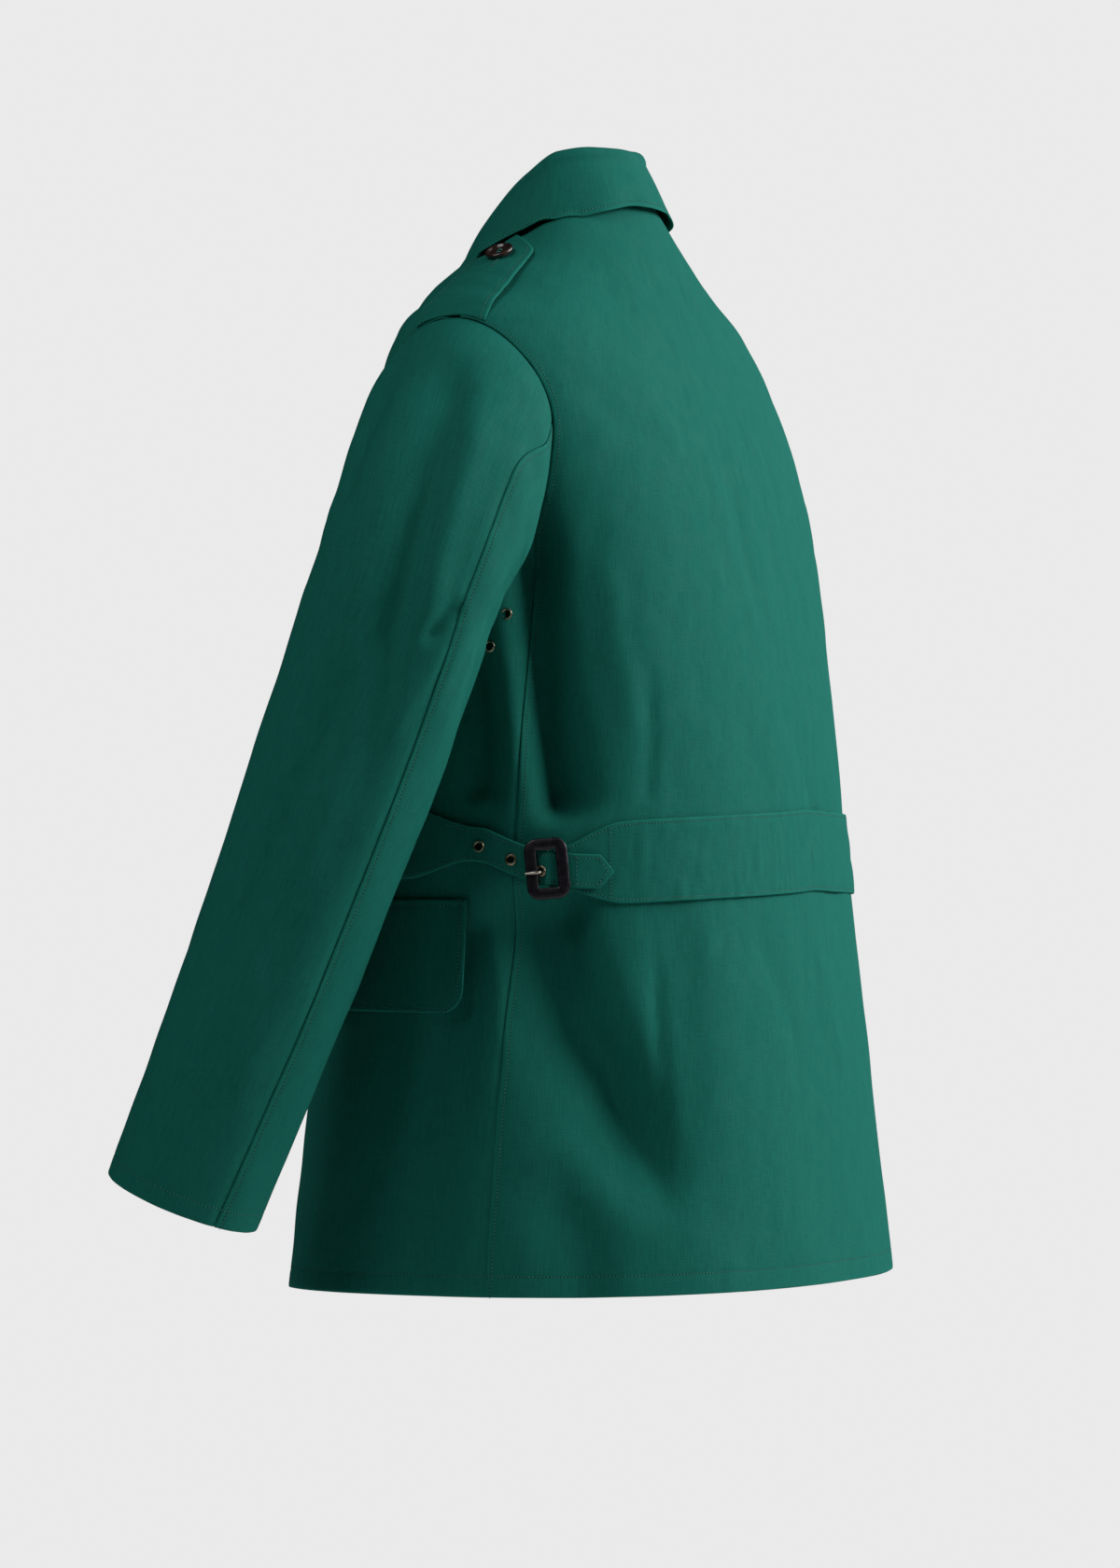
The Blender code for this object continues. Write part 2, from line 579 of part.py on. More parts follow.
def front_points():
    """(angle, run) points of the left front, and the two grids that they lie in.

    The lower grid reaches from the hem to the bottom of the armhole, all the way round to the
    front edge. The upper one climbs in front of the armhole to the shoulder and the neck.
    """
    half_gap = SEAM_GAP / 2
    seam = side_seam(np.linspace(HEM_RUN, join_run(), 14), -half_gap)
    under, side = armhole_edge(ROUND_UNDER), armhole_edge(ROUND_FRONT)
    under[0] = seam[-1]
    shoulder = shoulder_edge(side[-1, 1], -half_gap, 4)
    side[-1] = shoulder[0]
    neck = neck_edge(np.radians(NECK_ANGLES_FRONT))
    neck[0, 0] = shoulder[-1, 0]

    def front_edge(first_run, last_run, count):
        runs = np.linspace(first_run, last_run, count)
        return np.stack([-math.pi - angle_at_x(OVERLAP, runs), runs], axis=-1)

    low_edge = front_edge(HEM_RUN, CHEST_RUN, len(seam))
    high_edge = front_edge(CHEST_RUN, FRONT_TOP_RUN, len(side))
    corner = mix(neck[-1], high_edge[-1], np.linspace(0, 1, 8)[:, None])
    top = np.concatenate([shoulder, neck[1:], corner[1:]])
    chest = mix(side[0], low_edge[-1], np.linspace(0, 1, len(top))[:, None])
    chest_line = np.concatenate([under[:-1], chest])
    hem = np.stack([np.linspace(seam[0, 0], low_edge[0, 0], len(chest_line)),
                    np.zeros(len(chest_line))], axis=-1)
    lower = filled_outline(hem, chest_line, seam, low_edge)
    upper = filled_outline(chest, top, side, high_edge)
    points = np.concatenate([lower.reshape(-1, 2), upper[1:].reshape(-1, 2)])
    low_grid = np.arange(lower[..., 0].size).reshape(lower.shape[:2])
    high_grid = low_grid.size + np.arange(upper[1:, :, 0].size).reshape(-1, len(top))
    return points, [low_grid, np.concatenate([low_grid[-1:, len(under) - 1:], high_grid])]


def overlap_lift(angle, run):
    """The left front lies on the right one where they overlap, so it is lifted there."""
    x, y = body_point(angle, run)[..., 0], body_point(angle, run)[..., 1]
    near_neck = 1 + 1.48 * ease((run - 0.66) / 0.06) * ease((0.092 - x) / 0.016)
    lift = (CLOTH + 1.8 * LAYER_GAP) * near_neck * ease((OVERLAP + 0.040 - x) / 0.030)
    return lift * ease(-1 - y / 0.030)


def build_body(cloth, collection):
    grid = back_grid()
    wall("back", body_surface(grid[..., 0], grid[..., 1]),
         body_surface(grid[..., 0], grid[..., 1], -CLOTH), cloth, collection)
    points, grids = front_points()
    angle, run = points.T
    lift = overlap_lift(angle, run)
    wall("front_left", body_surface(angle, run, lift),
         body_surface(angle, run, lift - CLOTH), cloth, collection, grids)
    angle = mirrored(angle, RIGHT)
    lift = -2 * LAYER_GAP * ease((body_point(angle, run)[..., 0] - 0.050) / 0.030)  # covered
    wall("front_right", body_surface(angle, run, lift),
         body_surface(angle, run, lift - CLOTH), cloth, collection, grids)


def build_sleeve(side, word, cloth, collection):
    """The upper and the under sleeve, sewn to each other along the back and the front."""
    along = np.concatenate([np.linspace(0, 1, 8)[:-1], np.linspace(1, 2, 9)])[:, None]
    moved = smooth_through(BACK_SEAM_WAYS, BACK_SEAM_TURNS, along) - BACK_SEAM_TURN
    gap = math.degrees(SEAM_GAP / 2 / 0.05)
    front, back = ROUND_FRONT - 360, ROUND_BACK[ROUND_BACK <= BACK_SEAM_TURN]
    under = np.concatenate([ROUND_BACK[ROUND_BACK >= BACK_SEAM_TURN], ROUND_UNDER[1:]])
    for name, turns, ends in (
        ("upper_sleeve", np.concatenate([front, back[1:]]), (gap, -gap)),
        ("under_sleeve", under, (gap, -gap)),
    ):
        share = np.interp(turns, (0, BACK_SEAM_TURN, FRONT_SEAM_TURN), (0, 1, 0))
        turn = turns[None, :] + moved * share[None, :]
        turn[:, 0] += ends[0]
        turn[:, -1] += ends[1]
        turn = np.radians(turn)
        way = np.broadcast_to(along, turn.shape)
        wall(f"{name}_{word}", sleeve_surface(turn, way, side),
             sleeve_surface(turn, way, side, -CLOTH), cloth, collection)


# ---------------------------------------------------------------- collar
def round_neck(from_back, out, height):
    """Point at a signed angle from the middle of the back; the wearer's left is above zero."""
    angle = np.radians(from_back)
    point = (out * np.sin(angle), NECK_MIDDLE_Y + out * np.cos(angle), height)
    return np.stack(np.broadcast_arrays(*point), axis=-1)


def collar_column(name, from_back):
    number = COLLAR_COLUMNS.index(name)
    turns = [section[0] for section in COLLAR_SECTIONS]
    return smooth_through(turns, [section[number] for section in COLLAR_SECTIONS],
                          np.abs(from_back))


def collar_fold(from_back):
    return round_neck(from_back, collar_column("fold_out", from_back),
                      collar_column("fold_height", from_back))


def collar_edge(from_back):
    sag = COLLAR_SAG * np.exp(-(((from_back + 48.0) / 42.0) ** 2))
    turn = np.sign(from_back) * collar_column("edge_from_back", from_back)
    return round_neck(turn, collar_column("edge_out", from_back),
                      collar_column("edge_height", from_back) - sag)


def build_collar(cloth, collection):
    end = COLLAR_SECTIONS[-1][0]

    # The stand rises from the neck seam to just under the fold, with the panels' own columns.
    left = 90 - np.array([*NECK_ANGLES_FRONT[::-1], *NECK_ANGLES_BACK[1:7]])
    left[0] = STAND_END
    from_back = np.concatenate([-left, left[-2::-1]])
    fold = collar_fold(from_back)
    clear = SEAM_GAP + 0.0026 * ease((np.abs(from_back) - 125) / 30)  # of the lifted left front
    seam = body_point(math.pi / 2 - np.radians(from_back), NECK_RUN)
    seam = seam + clear[:, None] * np.array([0, 0, 1])
    top = fold - [0, 0, CLOTH + 1.5 * LAYER_GAP]
    up = np.linspace(0, 1, 4)[:, None, None]
    outer = mix(seam[None], top[None], up)
    inwards = unit((np.array([0, NECK_MIDDLE_Y, 0]) - outer) * [1, 1, 0])
    wall("collar_stand", outer, outer + inwards * CLOTH, cloth, collection)

    # The fall rolls over the fold and hangs outside the stand.
    from_back = np.linspace(-end, end, 27)
    fold = collar_fold(from_back)
    out = round_neck(from_back, 1.0, 0.0) - [0, NECK_MIDDLE_Y, 0]
    edge = collar_edge(from_back)
    rise = np.array([0, 0, 1.0])
    crest = fold + out * (COLLAR_ROLL * 0.45) + rise * 0.0008
    shoulder = fold + out * COLLAR_ROLL - rise * 0.0050
    rows = [fold - out * CLOTH * 0.8, crest, shoulder]
    for down in np.linspace(0, 1, 6)[1:]:
        rows.append(mix(shoulder, edge, down) + out * COLLAR_BULGE * math.sin(math.pi * down))
    outer = np.stack(rows)
    normal = unit(np.cross(np.gradient(outer, axis=1), np.gradient(outer, axis=0)))
    wall("collar_fall", outer, outer - normal * CLOTH, cloth, collection)


# ---------------------------------------------------------------- shoulder tabs
def build_shoulder_tab(side, word, cloth, horn, collection):
    """A tab from the armhole to the collar, with a pointed end and a button."""
    straight = np.linspace(0, 1, 8)
    way = np.concatenate([straight, [1.0, 1.0]])
    point = np.concatenate([np.zeros(8), [TAB_POINT / 2, TAB_POINT]])[:, None]
    half = mix(TAB_HALF_WIDTHS[0], TAB_HALF_WIDTHS[1], way)
    half[-2:] *= (0.53, 0.06)
    middle = mix(TAB_MIDDLE_Y[0], TAB_MIDDLE_Y[1], way)
    y = middle[:, None] + half[:, None] * np.linspace(-1, 1, 7)[None, :]
    seam_y, seam_z = armhole(np.linspace(-70, 40, 45))
    seam_x = body_point(*beside(seam_y, seam_z))[..., 0]
    base_x = np.interp(y, seam_y, seam_x) - LAYER_GAP
    angle, run = above(mix(base_x, TAB_END_X, way[:, None]) - point, y)
    angle = mirrored(angle, side)
    outer = body_surface(angle, run, LAYER_GAP + STRAP_CLOTH)
    inner = body_surface(angle, run, LAYER_GAP)
    wall(f"shoulder_tab_{word}", outer, inner, cloth, collection)
    angle, run = above(np.array(TAB_BUTTON_X), np.array(TAB_MIDDLE_Y[1]))
    lift = LAYER_GAP + STRAP_CLOTH + METAL_GAP
    at, axes = frame_on(mirrored(angle, side), run, lift)
    button(f"tab_button_{word}", SMALL_BUTTON_RADIUS, at, axes, horn, collection)


def button(name, radius, at, axes, finish, collection):
    """A rimmed, dished button with a flat back."""
    rim = radius * 0.80
    profile = [
        (0.0, BUTTON_THICK * 0.55), (rim * 0.93, BUTTON_THICK * 0.55), (rim, BUTTON_THICK),
        (radius * 0.93, BUTTON_THICK), (radius, BUTTON_THICK * 0.70),
        (radius * 0.94, BUTTON_THICK * 0.15), (radius * 0.55, 0.0), (0.0, 0.0),
    ]
    return turned(name, profile, 14, at, axes, finish, collection)


# ---------------------------------------------------------------- belt and straps
def belt_height(angle):
    """Height of the belt's middle at a left-hand angle in degrees."""
    return smooth_through((BUCKLE_ANGLE, BELT_ANCHOR_ANGLE, 90.0), BELT_HEIGHTS[::-1], angle)


def on_belt(angle, across, lift, side=LEFT):
    """Point of the plain body at a left-hand angle in degrees, across metres above the
    belt's middle line, moved out by lift."""
    height = belt_height(angle) + across
    turn = np.radians(angle)
    run = bisect(lambda run: body_point(turn, run)[..., 2] < height,
                 np.full(height.shape, HEM_RUN), np.full(height.shape, NECK_RUN))
    turn = mirrored(turn, side)
    return body_point(turn, run) + body_normal(turn, run) * lift[..., None]


def build_half_belt(cloth, collection):
    """The back belt: wide between its anchor seams, narrow where it holds each buckle."""
    past_bar = BAR_OFFSET + BAR_RADIUS + 2 * METAL_GAP
    end_angle = BUCKLE_ANGLE + math.degrees(past_bar / WAIST_RADIUS)
    left = np.concatenate([
        np.linspace(end_angle, BELT_ANCHOR_ANGLE, 8)[:-1], np.linspace(BELT_ANCHOR_ANGLE, 90, 11)])
    half = mix(BELT_HALF_NARROW, BELT_HALF_WIDE,
               ease((left - BUCKLE_ANGLE - 2.2) / (BELT_ANCHOR_ANGLE + 4.5 - BUCKLE_ANGLE - 2.2)))
    rise = 0.0010 * ease((end_angle + 1.0 - left) / 1.0)
    across = np.linspace(-1, 1, 5)[:, None] * half
    grids = []
    for thick in (STRAP_CLOTH, 0.0):
        lift = np.broadcast_to(LAYER_GAP + rise + thick, across.shape)
        near = on_belt(np.broadcast_to(left, across.shape), across, lift)
        far = near[:, -2::-1] * np.array([-1, 1, 1])
        grids.append(np.concatenate([near, far], axis=1))
    wall("half_belt", grids[0], grids[1], cloth, collection)


def strap_line(way):
    """(angle in degrees, lift of the strap's middle) at a way in metres from the buckle.

    way is above zero towards the back. The strap passes under the frame's front side, over
    the bar, under the frame's rear side and lies on the half belt.
    """
    way = np.asarray(way, float)
    angle = BUCKLE_ANGLE + np.degrees(way / WAIST_RADIUS)
    lift = smooth_through(STRAP_WAYS, STRAP_STANDS, way)
    return angle, lift


def strap_half_width(way):
    front = np.radians(BUCKLE_ANGLE - STRAP_FRONT_ANGLE) * WAIST_RADIUS
    return mix(STRAP_HALF, STRAP_FRONT_HALF, ease((-way - 0.060) / (front - 0.060)))


def strap_height(way):
    """The strap's middle above the belt's middle line: it climbs towards the front."""
    return 0.0145 * ease((-way - 0.010) / 0.070)


def on_strap(way, across, lift_off, side):
    angle, lift = strap_line(way)
    return on_belt(angle, across + strap_height(way), lift + lift_off, side)


def build_strap(side, word, cloth, brass, collection):
    """A side strap from the front through the buckle, with its brass eyelets."""
    front = -np.radians(BUCKLE_ANGLE - STRAP_FRONT_ANGLE) * WAIST_RADIUS
    end = 0.0440
    way = np.concatenate([
        np.linspace(front, -0.022, 10)[:-1], np.linspace(-0.022, 0.020, 15)[:-1],
        np.linspace(0.020, end - 0.009, 4), [end - 0.0045, end]])
    half = strap_half_width(way)
    half[-2:] = STRAP_HALF * 0.55, STRAP_HALF * 0.06
    across = np.linspace(-1, 1, 5)[:, None] * half
    way = np.broadcast_to(way, across.shape)
    halfway = STRAP_CLOTH / 2
    wall(f"side_strap_{word}", on_strap(way, across, np.full(way.shape, halfway), side),
         on_strap(way, across, np.full(way.shape, -halfway), side), cloth, collection)
    for number in range(3):
        at, axes = strap_frame(-0.0042 - number * EYELET_PITCH, PRONG_HEIGHT * (1 - number / 4),
                               STRAP_CLOTH / 2 + 1.6 * METAL_GAP, side)
        eyelet(f"strap_eyelet_{word}_{number + 1}", at, axes, brass, collection)


def eyelet(name, at, axes, finish, collection):
    """A turned ring that lies on the cloth."""
    profile = [
        (EYELET_OUTER, 0.0), (EYELET_INNER, 0.0), (EYELET_INNER * 1.15, EYELET_PROUD * 0.8),
        ((EYELET_OUTER + EYELET_INNER) / 2, EYELET_PROUD), (EYELET_OUTER * 0.95, EYELET_PROUD * 0.5),
    ]
    return turned(name, profile, 12, at, axes, finish, collection)


def strap_frame(way, across, lift_off, side):
    """Place and axes on the strap: x towards the back on the left side, z out."""
    small = 0.002
    spots = [on_strap(np.array(way + dx), np.array(across + dy), np.array(lift_off), side)
             for dx, dy in ((0, 0), (small, 0), (-small, 0), (0, small), (0, -small))]
    x = unit(spots[1] - spots[2]) * side
    y = spots[3] - spots[4]
    z = unit(np.cross(x, y))
    return spots[0], np.stack([x, np.cross(z, x), z], axis=-1)


def buckle_frame(side):
    """Place and axes of a buckle: x towards the back on the left side, z out of the body."""
    centre = on_belt(np.array(BUCKLE_ANGLE), np.array(0.0), np.array(0.0), side)
    ahead = on_belt(np.array(BUCKLE_ANGLE + 1.0), np.array(0.0), np.array(0.0), side)
    above_it = on_belt(np.array(BUCKLE_ANGLE), np.array(0.01), np.array(0.0), side)
    x = unit(ahead - centre) * side
    z = unit(np.cross(x, above_it - centre))
    return centre, np.stack([x, np.cross(z, x), z], axis=-1)


def build_buckle(side, word, leather, metal, collection):
    """A leather-covered frame with a bar and a prong."""
    centre, axes = buckle_frame(side)
    middle_x, middle_y = BUCKLE_HALF[0] - BUCKLE_BAND / 2, BUCKLE_HALF[1] - BUCKLE_BAND / 2
    corner = BUCKLE_CORNER - BUCKLE_BAND / 4
    path = []
    for quarter, (sx, sy) in enumerate(((1, 1), (-1, 1), (-1, -1), (1, -1))):
        for step in range(4):
            t = math.radians(90 * quarter + 30 * step)
            path.append((sx * (middle_x - corner) + corner * math.cos(t),
                         sy * (middle_y - corner) + corner * math.sin(t)))
    mesh = bpy.data.meshes.new(f"buckle_{word}")
    points, faces, ring = [], [], 8
    count = len(path)
    for i, (px, py) in enumerate(path):
        before, after = path[i - 1], path[(i + 1) % count]
        out = unit(np.array([after[1] - before[1], before[0] - after[0]]))
        for j in range(ring):
            t = 2 * math.pi * (j + 0.5) / ring
            reach = BUCKLE_BAND / 2 * math.copysign(abs(math.cos(t)) ** 0.6, math.cos(t))
            height = BUCKLE_HALF_THICK * math.copysign(abs(math.sin(t)) ** 0.8, math.sin(t))
            points.append((px + out[0] * reach, py + out[1] * reach, height))
            a, b = i * ring + j, i * ring + (j + 1) % ring
            c, d = (b + ring) % (count * ring), (a + ring) % (count * ring)
            faces.append((a, b, c, d))
    mesh.from_pydata(points, [], faces)
    shape = bmesh.new()
    shape.from_mesh(mesh)
    bmesh.ops.recalc_face_normals(shape, faces=shape.faces)
    shape.to_mesh(mesh)
    shape.free()
    buckle = place(f"buckle_{word}", mesh, leather, collection)
    stand(buckle, centre + axes[:, 2] * BUCKLE_STANDS, axes)

    inside = BUCKLE_HALF[1] - BUCKLE_BAND + 0.0007
    shape = bmesh.new()
    bmesh.ops.create_cone(shape, cap_ends=True, segments=10, radius1=BAR_RADIUS,
                          radius2=BAR_RADIUS, depth=2 * inside)
    bmesh.ops.rotate(shape, verts=shape.verts, cent=(0, 0, 0),
                     matrix=Matrix.Rotation(math.pi / 2, 3, "X"))
    mesh = bpy.data.meshes.new(f"buckle_bar_{word}")
    shape.to_mesh(mesh)
    shape.free()
    bar = place(f"buckle_bar_{word}", mesh, metal, collection)
    stand(bar, centre + axes @ np.array([BAR_OFFSET * side, 0, BAR_STANDS]), axes)


def build_prong(side, word, metal, collection):
    """A bent pin from the eyelet to its rest on the frame's front side."""
    centre, axes = buckle_frame(side)
    top = BUCKLE_STANDS + BUCKLE_HALF_THICK + PRONG_RADIUS + LAYER_GAP
    route = ((-0.0044, 0.0078), (-0.0050, top - 0.0006), (-0.0072, top + 0.0004),
             (-0.0110, top + 0.0002), (-0.0145, top))
    curve = bpy.data.curves.new(f"prong_{word}", "CURVE")
    curve.dimensions = "3D"
    curve.bevel_depth = PRONG_RADIUS
    curve.bevel_resolution = 2
    curve.use_fill_caps = True
    spline = curve.splines.new("POLY")
    spline.points.add(len(route) - 1)
    for point, (x, z) in zip(spline.points, route):
        point.co = (x * side, PRONG_HEIGHT, z, 1.0)
    curve.materials.append(metal)
    made = bpy.data.objects.new(f"prong_{word}", curve)
    collection.objects.link(made)
    stand(made, centre, axes)


# ---------------------------------------------------------------- flaps, vents, buttons
def build_flap(side, word, cloth, collection):
    """A pocket flap with round lower corners, hanging a little away from the front."""
    start = math.degrees(float(beside(np.array(FLAP_REAR_Y), np.array(FLAP_TOP))[0]))
    depth = FLAP_TOP - FLAP_BOTTOM
    down = np.array([0.0, 0.3, 0.58, 1 - FLAP_CORNER / depth, 0.86, 0.93, 0.975, 1.0]) * depth
    into = np.clip(down - (depth - FLAP_CORNER), 0, FLAP_CORNER)
    cut = FLAP_CORNER - np.sqrt(FLAP_CORNER**2 - into**2 * 0.96)
    half = (FLAP_LENGTH / 2 - cut)[:, None] * np.linspace(-1, 1, 10)[None, :]
    radius = 0.205
    angle = np.radians(start) - (FLAP_LENGTH / 2 - half) / radius
    run = run_at_height(FLAP_TOP - down)[:, None] + np.zeros(half.shape)
    lift = LAYER_GAP + FLAP_LIFT * (down / depth)[:, None] ** 1.3 + np.zeros(half.shape)
    if side == LEFT:
        lift = lift + overlap_lift(angle, run)
    turn = mirrored(angle, side)
    wall(f"pocket_flap_{word}", body_surface(turn, run, lift + STRAP_CLOTH),
         body_surface(turn, run, lift), cloth, collection)


def build_vents(side, word, brass, collection):
    for number, (y, z) in enumerate(VENT_HOLES):
        angle, run = beside(np.array(y), np.array(z))
        turn = mirrored(angle, side)
        fold = float(fold_depth(BODY_FOLDS, turn, run, 0.21))
        at, axes = frame_on(turn, run, fold + METAL_GAP)
        eyelet(f"vent_eyelet_{word}_{number + 1}", at, axes, brass, collection)


def build_front_buttons(horn, collection):
    """Two columns of buttons on the left front."""
    for column, word in ((LEFT, "left"), (RIGHT, "right")):
        for number, height in enumerate(BUTTON_HEIGHTS):
            run = run_at_height(np.array(height))
            angle = angle_at_x(BUTTON_COLUMN_X, run)
            if column == RIGHT:
                angle = -math.pi - angle
            fold = float(fold_depth(BODY_FOLDS, angle, run, 0.21))
            lift = float(overlap_lift(angle, run)) + fold + METAL_GAP
            if number == 0 and column == LEFT:
                lift -= 0.0005  # the panel's faces dip here
            at, axes = frame_on(angle, run, lift)
            button(f"front_button_{word}_{number + 1}", BIG_BUTTON_RADIUS, at, axes, horn,
                   collection)


# ---------------------------------------------------------------- the whole coat
def main():
    for old in list(bpy.data.objects):
        bpy.data.objects.remove(old, do_unlink=True)
    coat = bpy.data.collections.new("raincoat")
    bpy.context.scene.collection.children.link(coat)
    cloth = material("bonded_cotton", (0.012, 0.105, 0.075), 0.75)
    horn = material("dark_horn", (0.020, 0.013, 0.012), 0.30)
    leather = material("black_leather", (0.010, 0.008, 0.012), 0.38)
    brass = material("aged_brass", (0.42, 0.30, 0.16), 0.35, 1.0)
    metal = material("pale_metal", (0.55, 0.48, 0.42), 0.28, 1.0)

    build_body(cloth, coat)
    build_collar(cloth, coat)
    build_half_belt(cloth, coat)
    build_front_buttons(horn, coat)
    for side, word in ((LEFT, "left"), (RIGHT, "right")):
        build_sleeve(side, word, cloth, coat)
        build_shoulder_tab(side, word, cloth, horn, coat)
        build_strap(side, word, cloth, brass, coat)
        build_buckle(side, word, leather, metal, coat)
        build_prong(side, word, metal, coat)
        build_flap(side, word, cloth, coat)
        build_vents(side, word, brass, coat)


main()
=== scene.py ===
"""The looks of a short double-breasted raincoat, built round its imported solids.

The coat is hollow and filled out as if worn: +Z is up, the fronts face -Y and the wearer's left is
+X, in metres. Each cloth piece is a thin shell on the form of its solid, with finer folds, rolled
edges and seams. Stitches follow the edges of the shells.
"""

from __future__ import annotations

import logging
import math
from dataclasses import dataclass, field
from enum import Enum
from typing import Callable, Sequence

import bmesh
import bpy
import numpy as np
from mathutils import Matrix, Vector

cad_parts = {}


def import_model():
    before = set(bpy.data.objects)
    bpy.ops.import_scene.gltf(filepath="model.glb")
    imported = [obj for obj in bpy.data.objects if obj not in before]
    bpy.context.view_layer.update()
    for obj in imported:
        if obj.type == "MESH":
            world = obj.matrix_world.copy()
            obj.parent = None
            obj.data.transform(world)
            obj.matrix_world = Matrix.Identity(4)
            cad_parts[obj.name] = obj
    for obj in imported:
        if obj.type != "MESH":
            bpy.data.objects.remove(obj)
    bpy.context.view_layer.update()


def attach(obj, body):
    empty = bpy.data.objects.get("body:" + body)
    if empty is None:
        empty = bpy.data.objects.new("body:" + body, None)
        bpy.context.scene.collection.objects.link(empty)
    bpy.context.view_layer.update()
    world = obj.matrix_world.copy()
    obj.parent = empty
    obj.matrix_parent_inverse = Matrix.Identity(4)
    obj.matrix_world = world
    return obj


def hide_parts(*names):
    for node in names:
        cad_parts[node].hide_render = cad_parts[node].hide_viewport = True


Array = np.ndarray
Floats = tuple[float, ...]
Pair = tuple[float, float]
Mesh, Object = bpy.types.Mesh, bpy.types.Object
Material, Socket = bpy.types.Material, bpy.types.NodeSocket

LOG = logging.getLogger("raincoat")

CLOTH = 0.0015  # one layer of the coat's cloth
STRAP_CLOTH = 0.0018  # straps, flaps and tabs, which are two layers pressed flat
LAYER_GAP = 0.0010  # between layers that lie on each other
STITCH_PITCH = 0.0025
EDGE_ROUNDING = (0.0005, 0.0016)  # lines this near an edge of cloth round it off
BODY_RADIUS = 0.21  # turns an angle round the body into metres
ARM_RADIUS = 0.056  # turns an angle round a sleeve into metres
FULL_TURN = 2 * math.pi
UP = np.array([0, 0, 1.0])


class Side(Enum):
    """A side of the wearer, with the sign of x there."""

    LEFT = 1
    RIGHT = -1

    @property
    def word(self) -> str:
        """The side's name as node names spell it."""
        return self.name.lower()


class Edge(Enum):
    """The four edges of a grid of cloth."""

    START = "start"
    END = "end"
    BOTTOM = "bottom"
    TOP = "top"


# ---- curves and numbers
def smooth_through(knots: Sequence[float], values: Sequence[float], at: Array) -> Array:
    """Reads a smooth curve that never swings past its knots (monotone cubic).

    Args:
        knots: Rising places of the knots.
        values: The curve's value at each knot.
        at: Where to read it.

    Returns:
        The values there.
    """
    x, y = np.asarray(knots, float), np.asarray(values, float)
    step = np.diff(x)
    slope = np.diff(y) / step
    tangent = np.concatenate([slope[:1], np.zeros(len(x) - 2), slope[-1:]])
    for i in range(1, len(x) - 1):
        before, after = slope[i - 1], slope[i]
        if before * after > 0:
            wide, near = 2 * step[i] + step[i - 1], step[i] + 2 * step[i - 1]
            tangent[i] = (wide + near) / (wide / before + near / after)
    at = np.clip(np.asarray(at, float), x[0], x[-1])
    i = np.clip(np.searchsorted(x, at, side="right") - 1, 0, len(step) - 1)
    t = (at - x[i]) / step[i]
    rise = (3 - 2 * t) * t * t
    bend = t * (1 - t) * step[i] * ((1 - t) * tangent[i] - t * tangent[i + 1])
    return (1 - rise) * y[i] + rise * y[i + 1] + bend


def ease(t: Array | float) -> Array:
    """Returns 0 before 0, 1 after 1 and a smooth step between."""
    t = np.clip(t, 0.0, 1.0)
    return t * t * (3 - 2 * t)


def mix(a: Array | float, b: Array | float, t: Array | float) -> Array:
    """Returns the value a share t of the way from a to b."""
    return a + (b - a) * t


def unit(v: Array) -> Array:
    """Returns vectors of length one."""
    return v / np.maximum(np.linalg.norm(v, axis=-1, keepdims=True), 1e-12)


def bisect(below: Callable[[Array], Array], low: float, high: float,
           shape: tuple[int, ...]) -> Array:
    """Finds where a rising test turns from true to false.

    Args:
        below: Says whether each value is still below the place.
        low: Lowest value.
        high: Highest value.
        shape: Shape of the answer.

    Returns:
        The places.
    """
    bottom, top = np.full(shape, low), np.full(shape, high)
    for _ in range(34):
        middle = (bottom + top) / 2
        inside = below(middle)
        bottom, top = np.where(inside, middle, bottom), np.where(inside, top, middle)
    return (bottom + top) / 2


def ripple(u: Array, v: Array, seed: int, size: float) -> Array:
    """Returns gentle uneven waves between about -1 and 1 on a sheet.

    Args:
        u: First coordinate in metres.
        v: Second coordinate in metres.
        seed: Chooses the waves.
        size: Typical distance between crests.

    Returns:
        The height of the waves at each point.
    """
    rng = np.random.default_rng(seed)
    total = np.zeros(np.broadcast(u, v).shape)
    for _ in range(9):
        way, phase = rng.uniform(0, FULL_TURN, 2)
        pitch = FULL_TURN / (size * rng.uniform(0.7, 1.9))
        total = total + np.sin(pitch * (u * math.cos(way) + 0.55 * v * math.sin(way)) + phase)
    return total / 3.2


def long_folds(folds: Sequence[Floats], angle: Array, way: Array, radius: float) -> Array:
    """Returns how far the long folds of the solids stand out.

    Args:
        folds: For each, (angle, way) at the top and the bottom, two half widths and the depth.
        angle: Angles in radians.
        way: Ways along.
        radius: Turns an angle into metres.

    Returns:
        The height at each point.
    """
    total = np.zeros(np.broadcast(angle, way).shape)
    for top, way_top, bottom, way_bottom, wide_top, wide_bottom, depth in folds:
        down = (way_top - way) / (way_top - way_bottom)
        middle = np.radians(mix(top, bottom, down))
        away = (angle - middle + math.pi) % FULL_TURN - math.pi
        width = mix(wide_top, wide_bottom, np.clip(down, 0, 1))
        ends = np.sin(np.pi * np.clip(down, 0, 1)) ** 0.8
        total = total + depth * ends * np.exp(-((away * radius / width) ** 2))
    return total


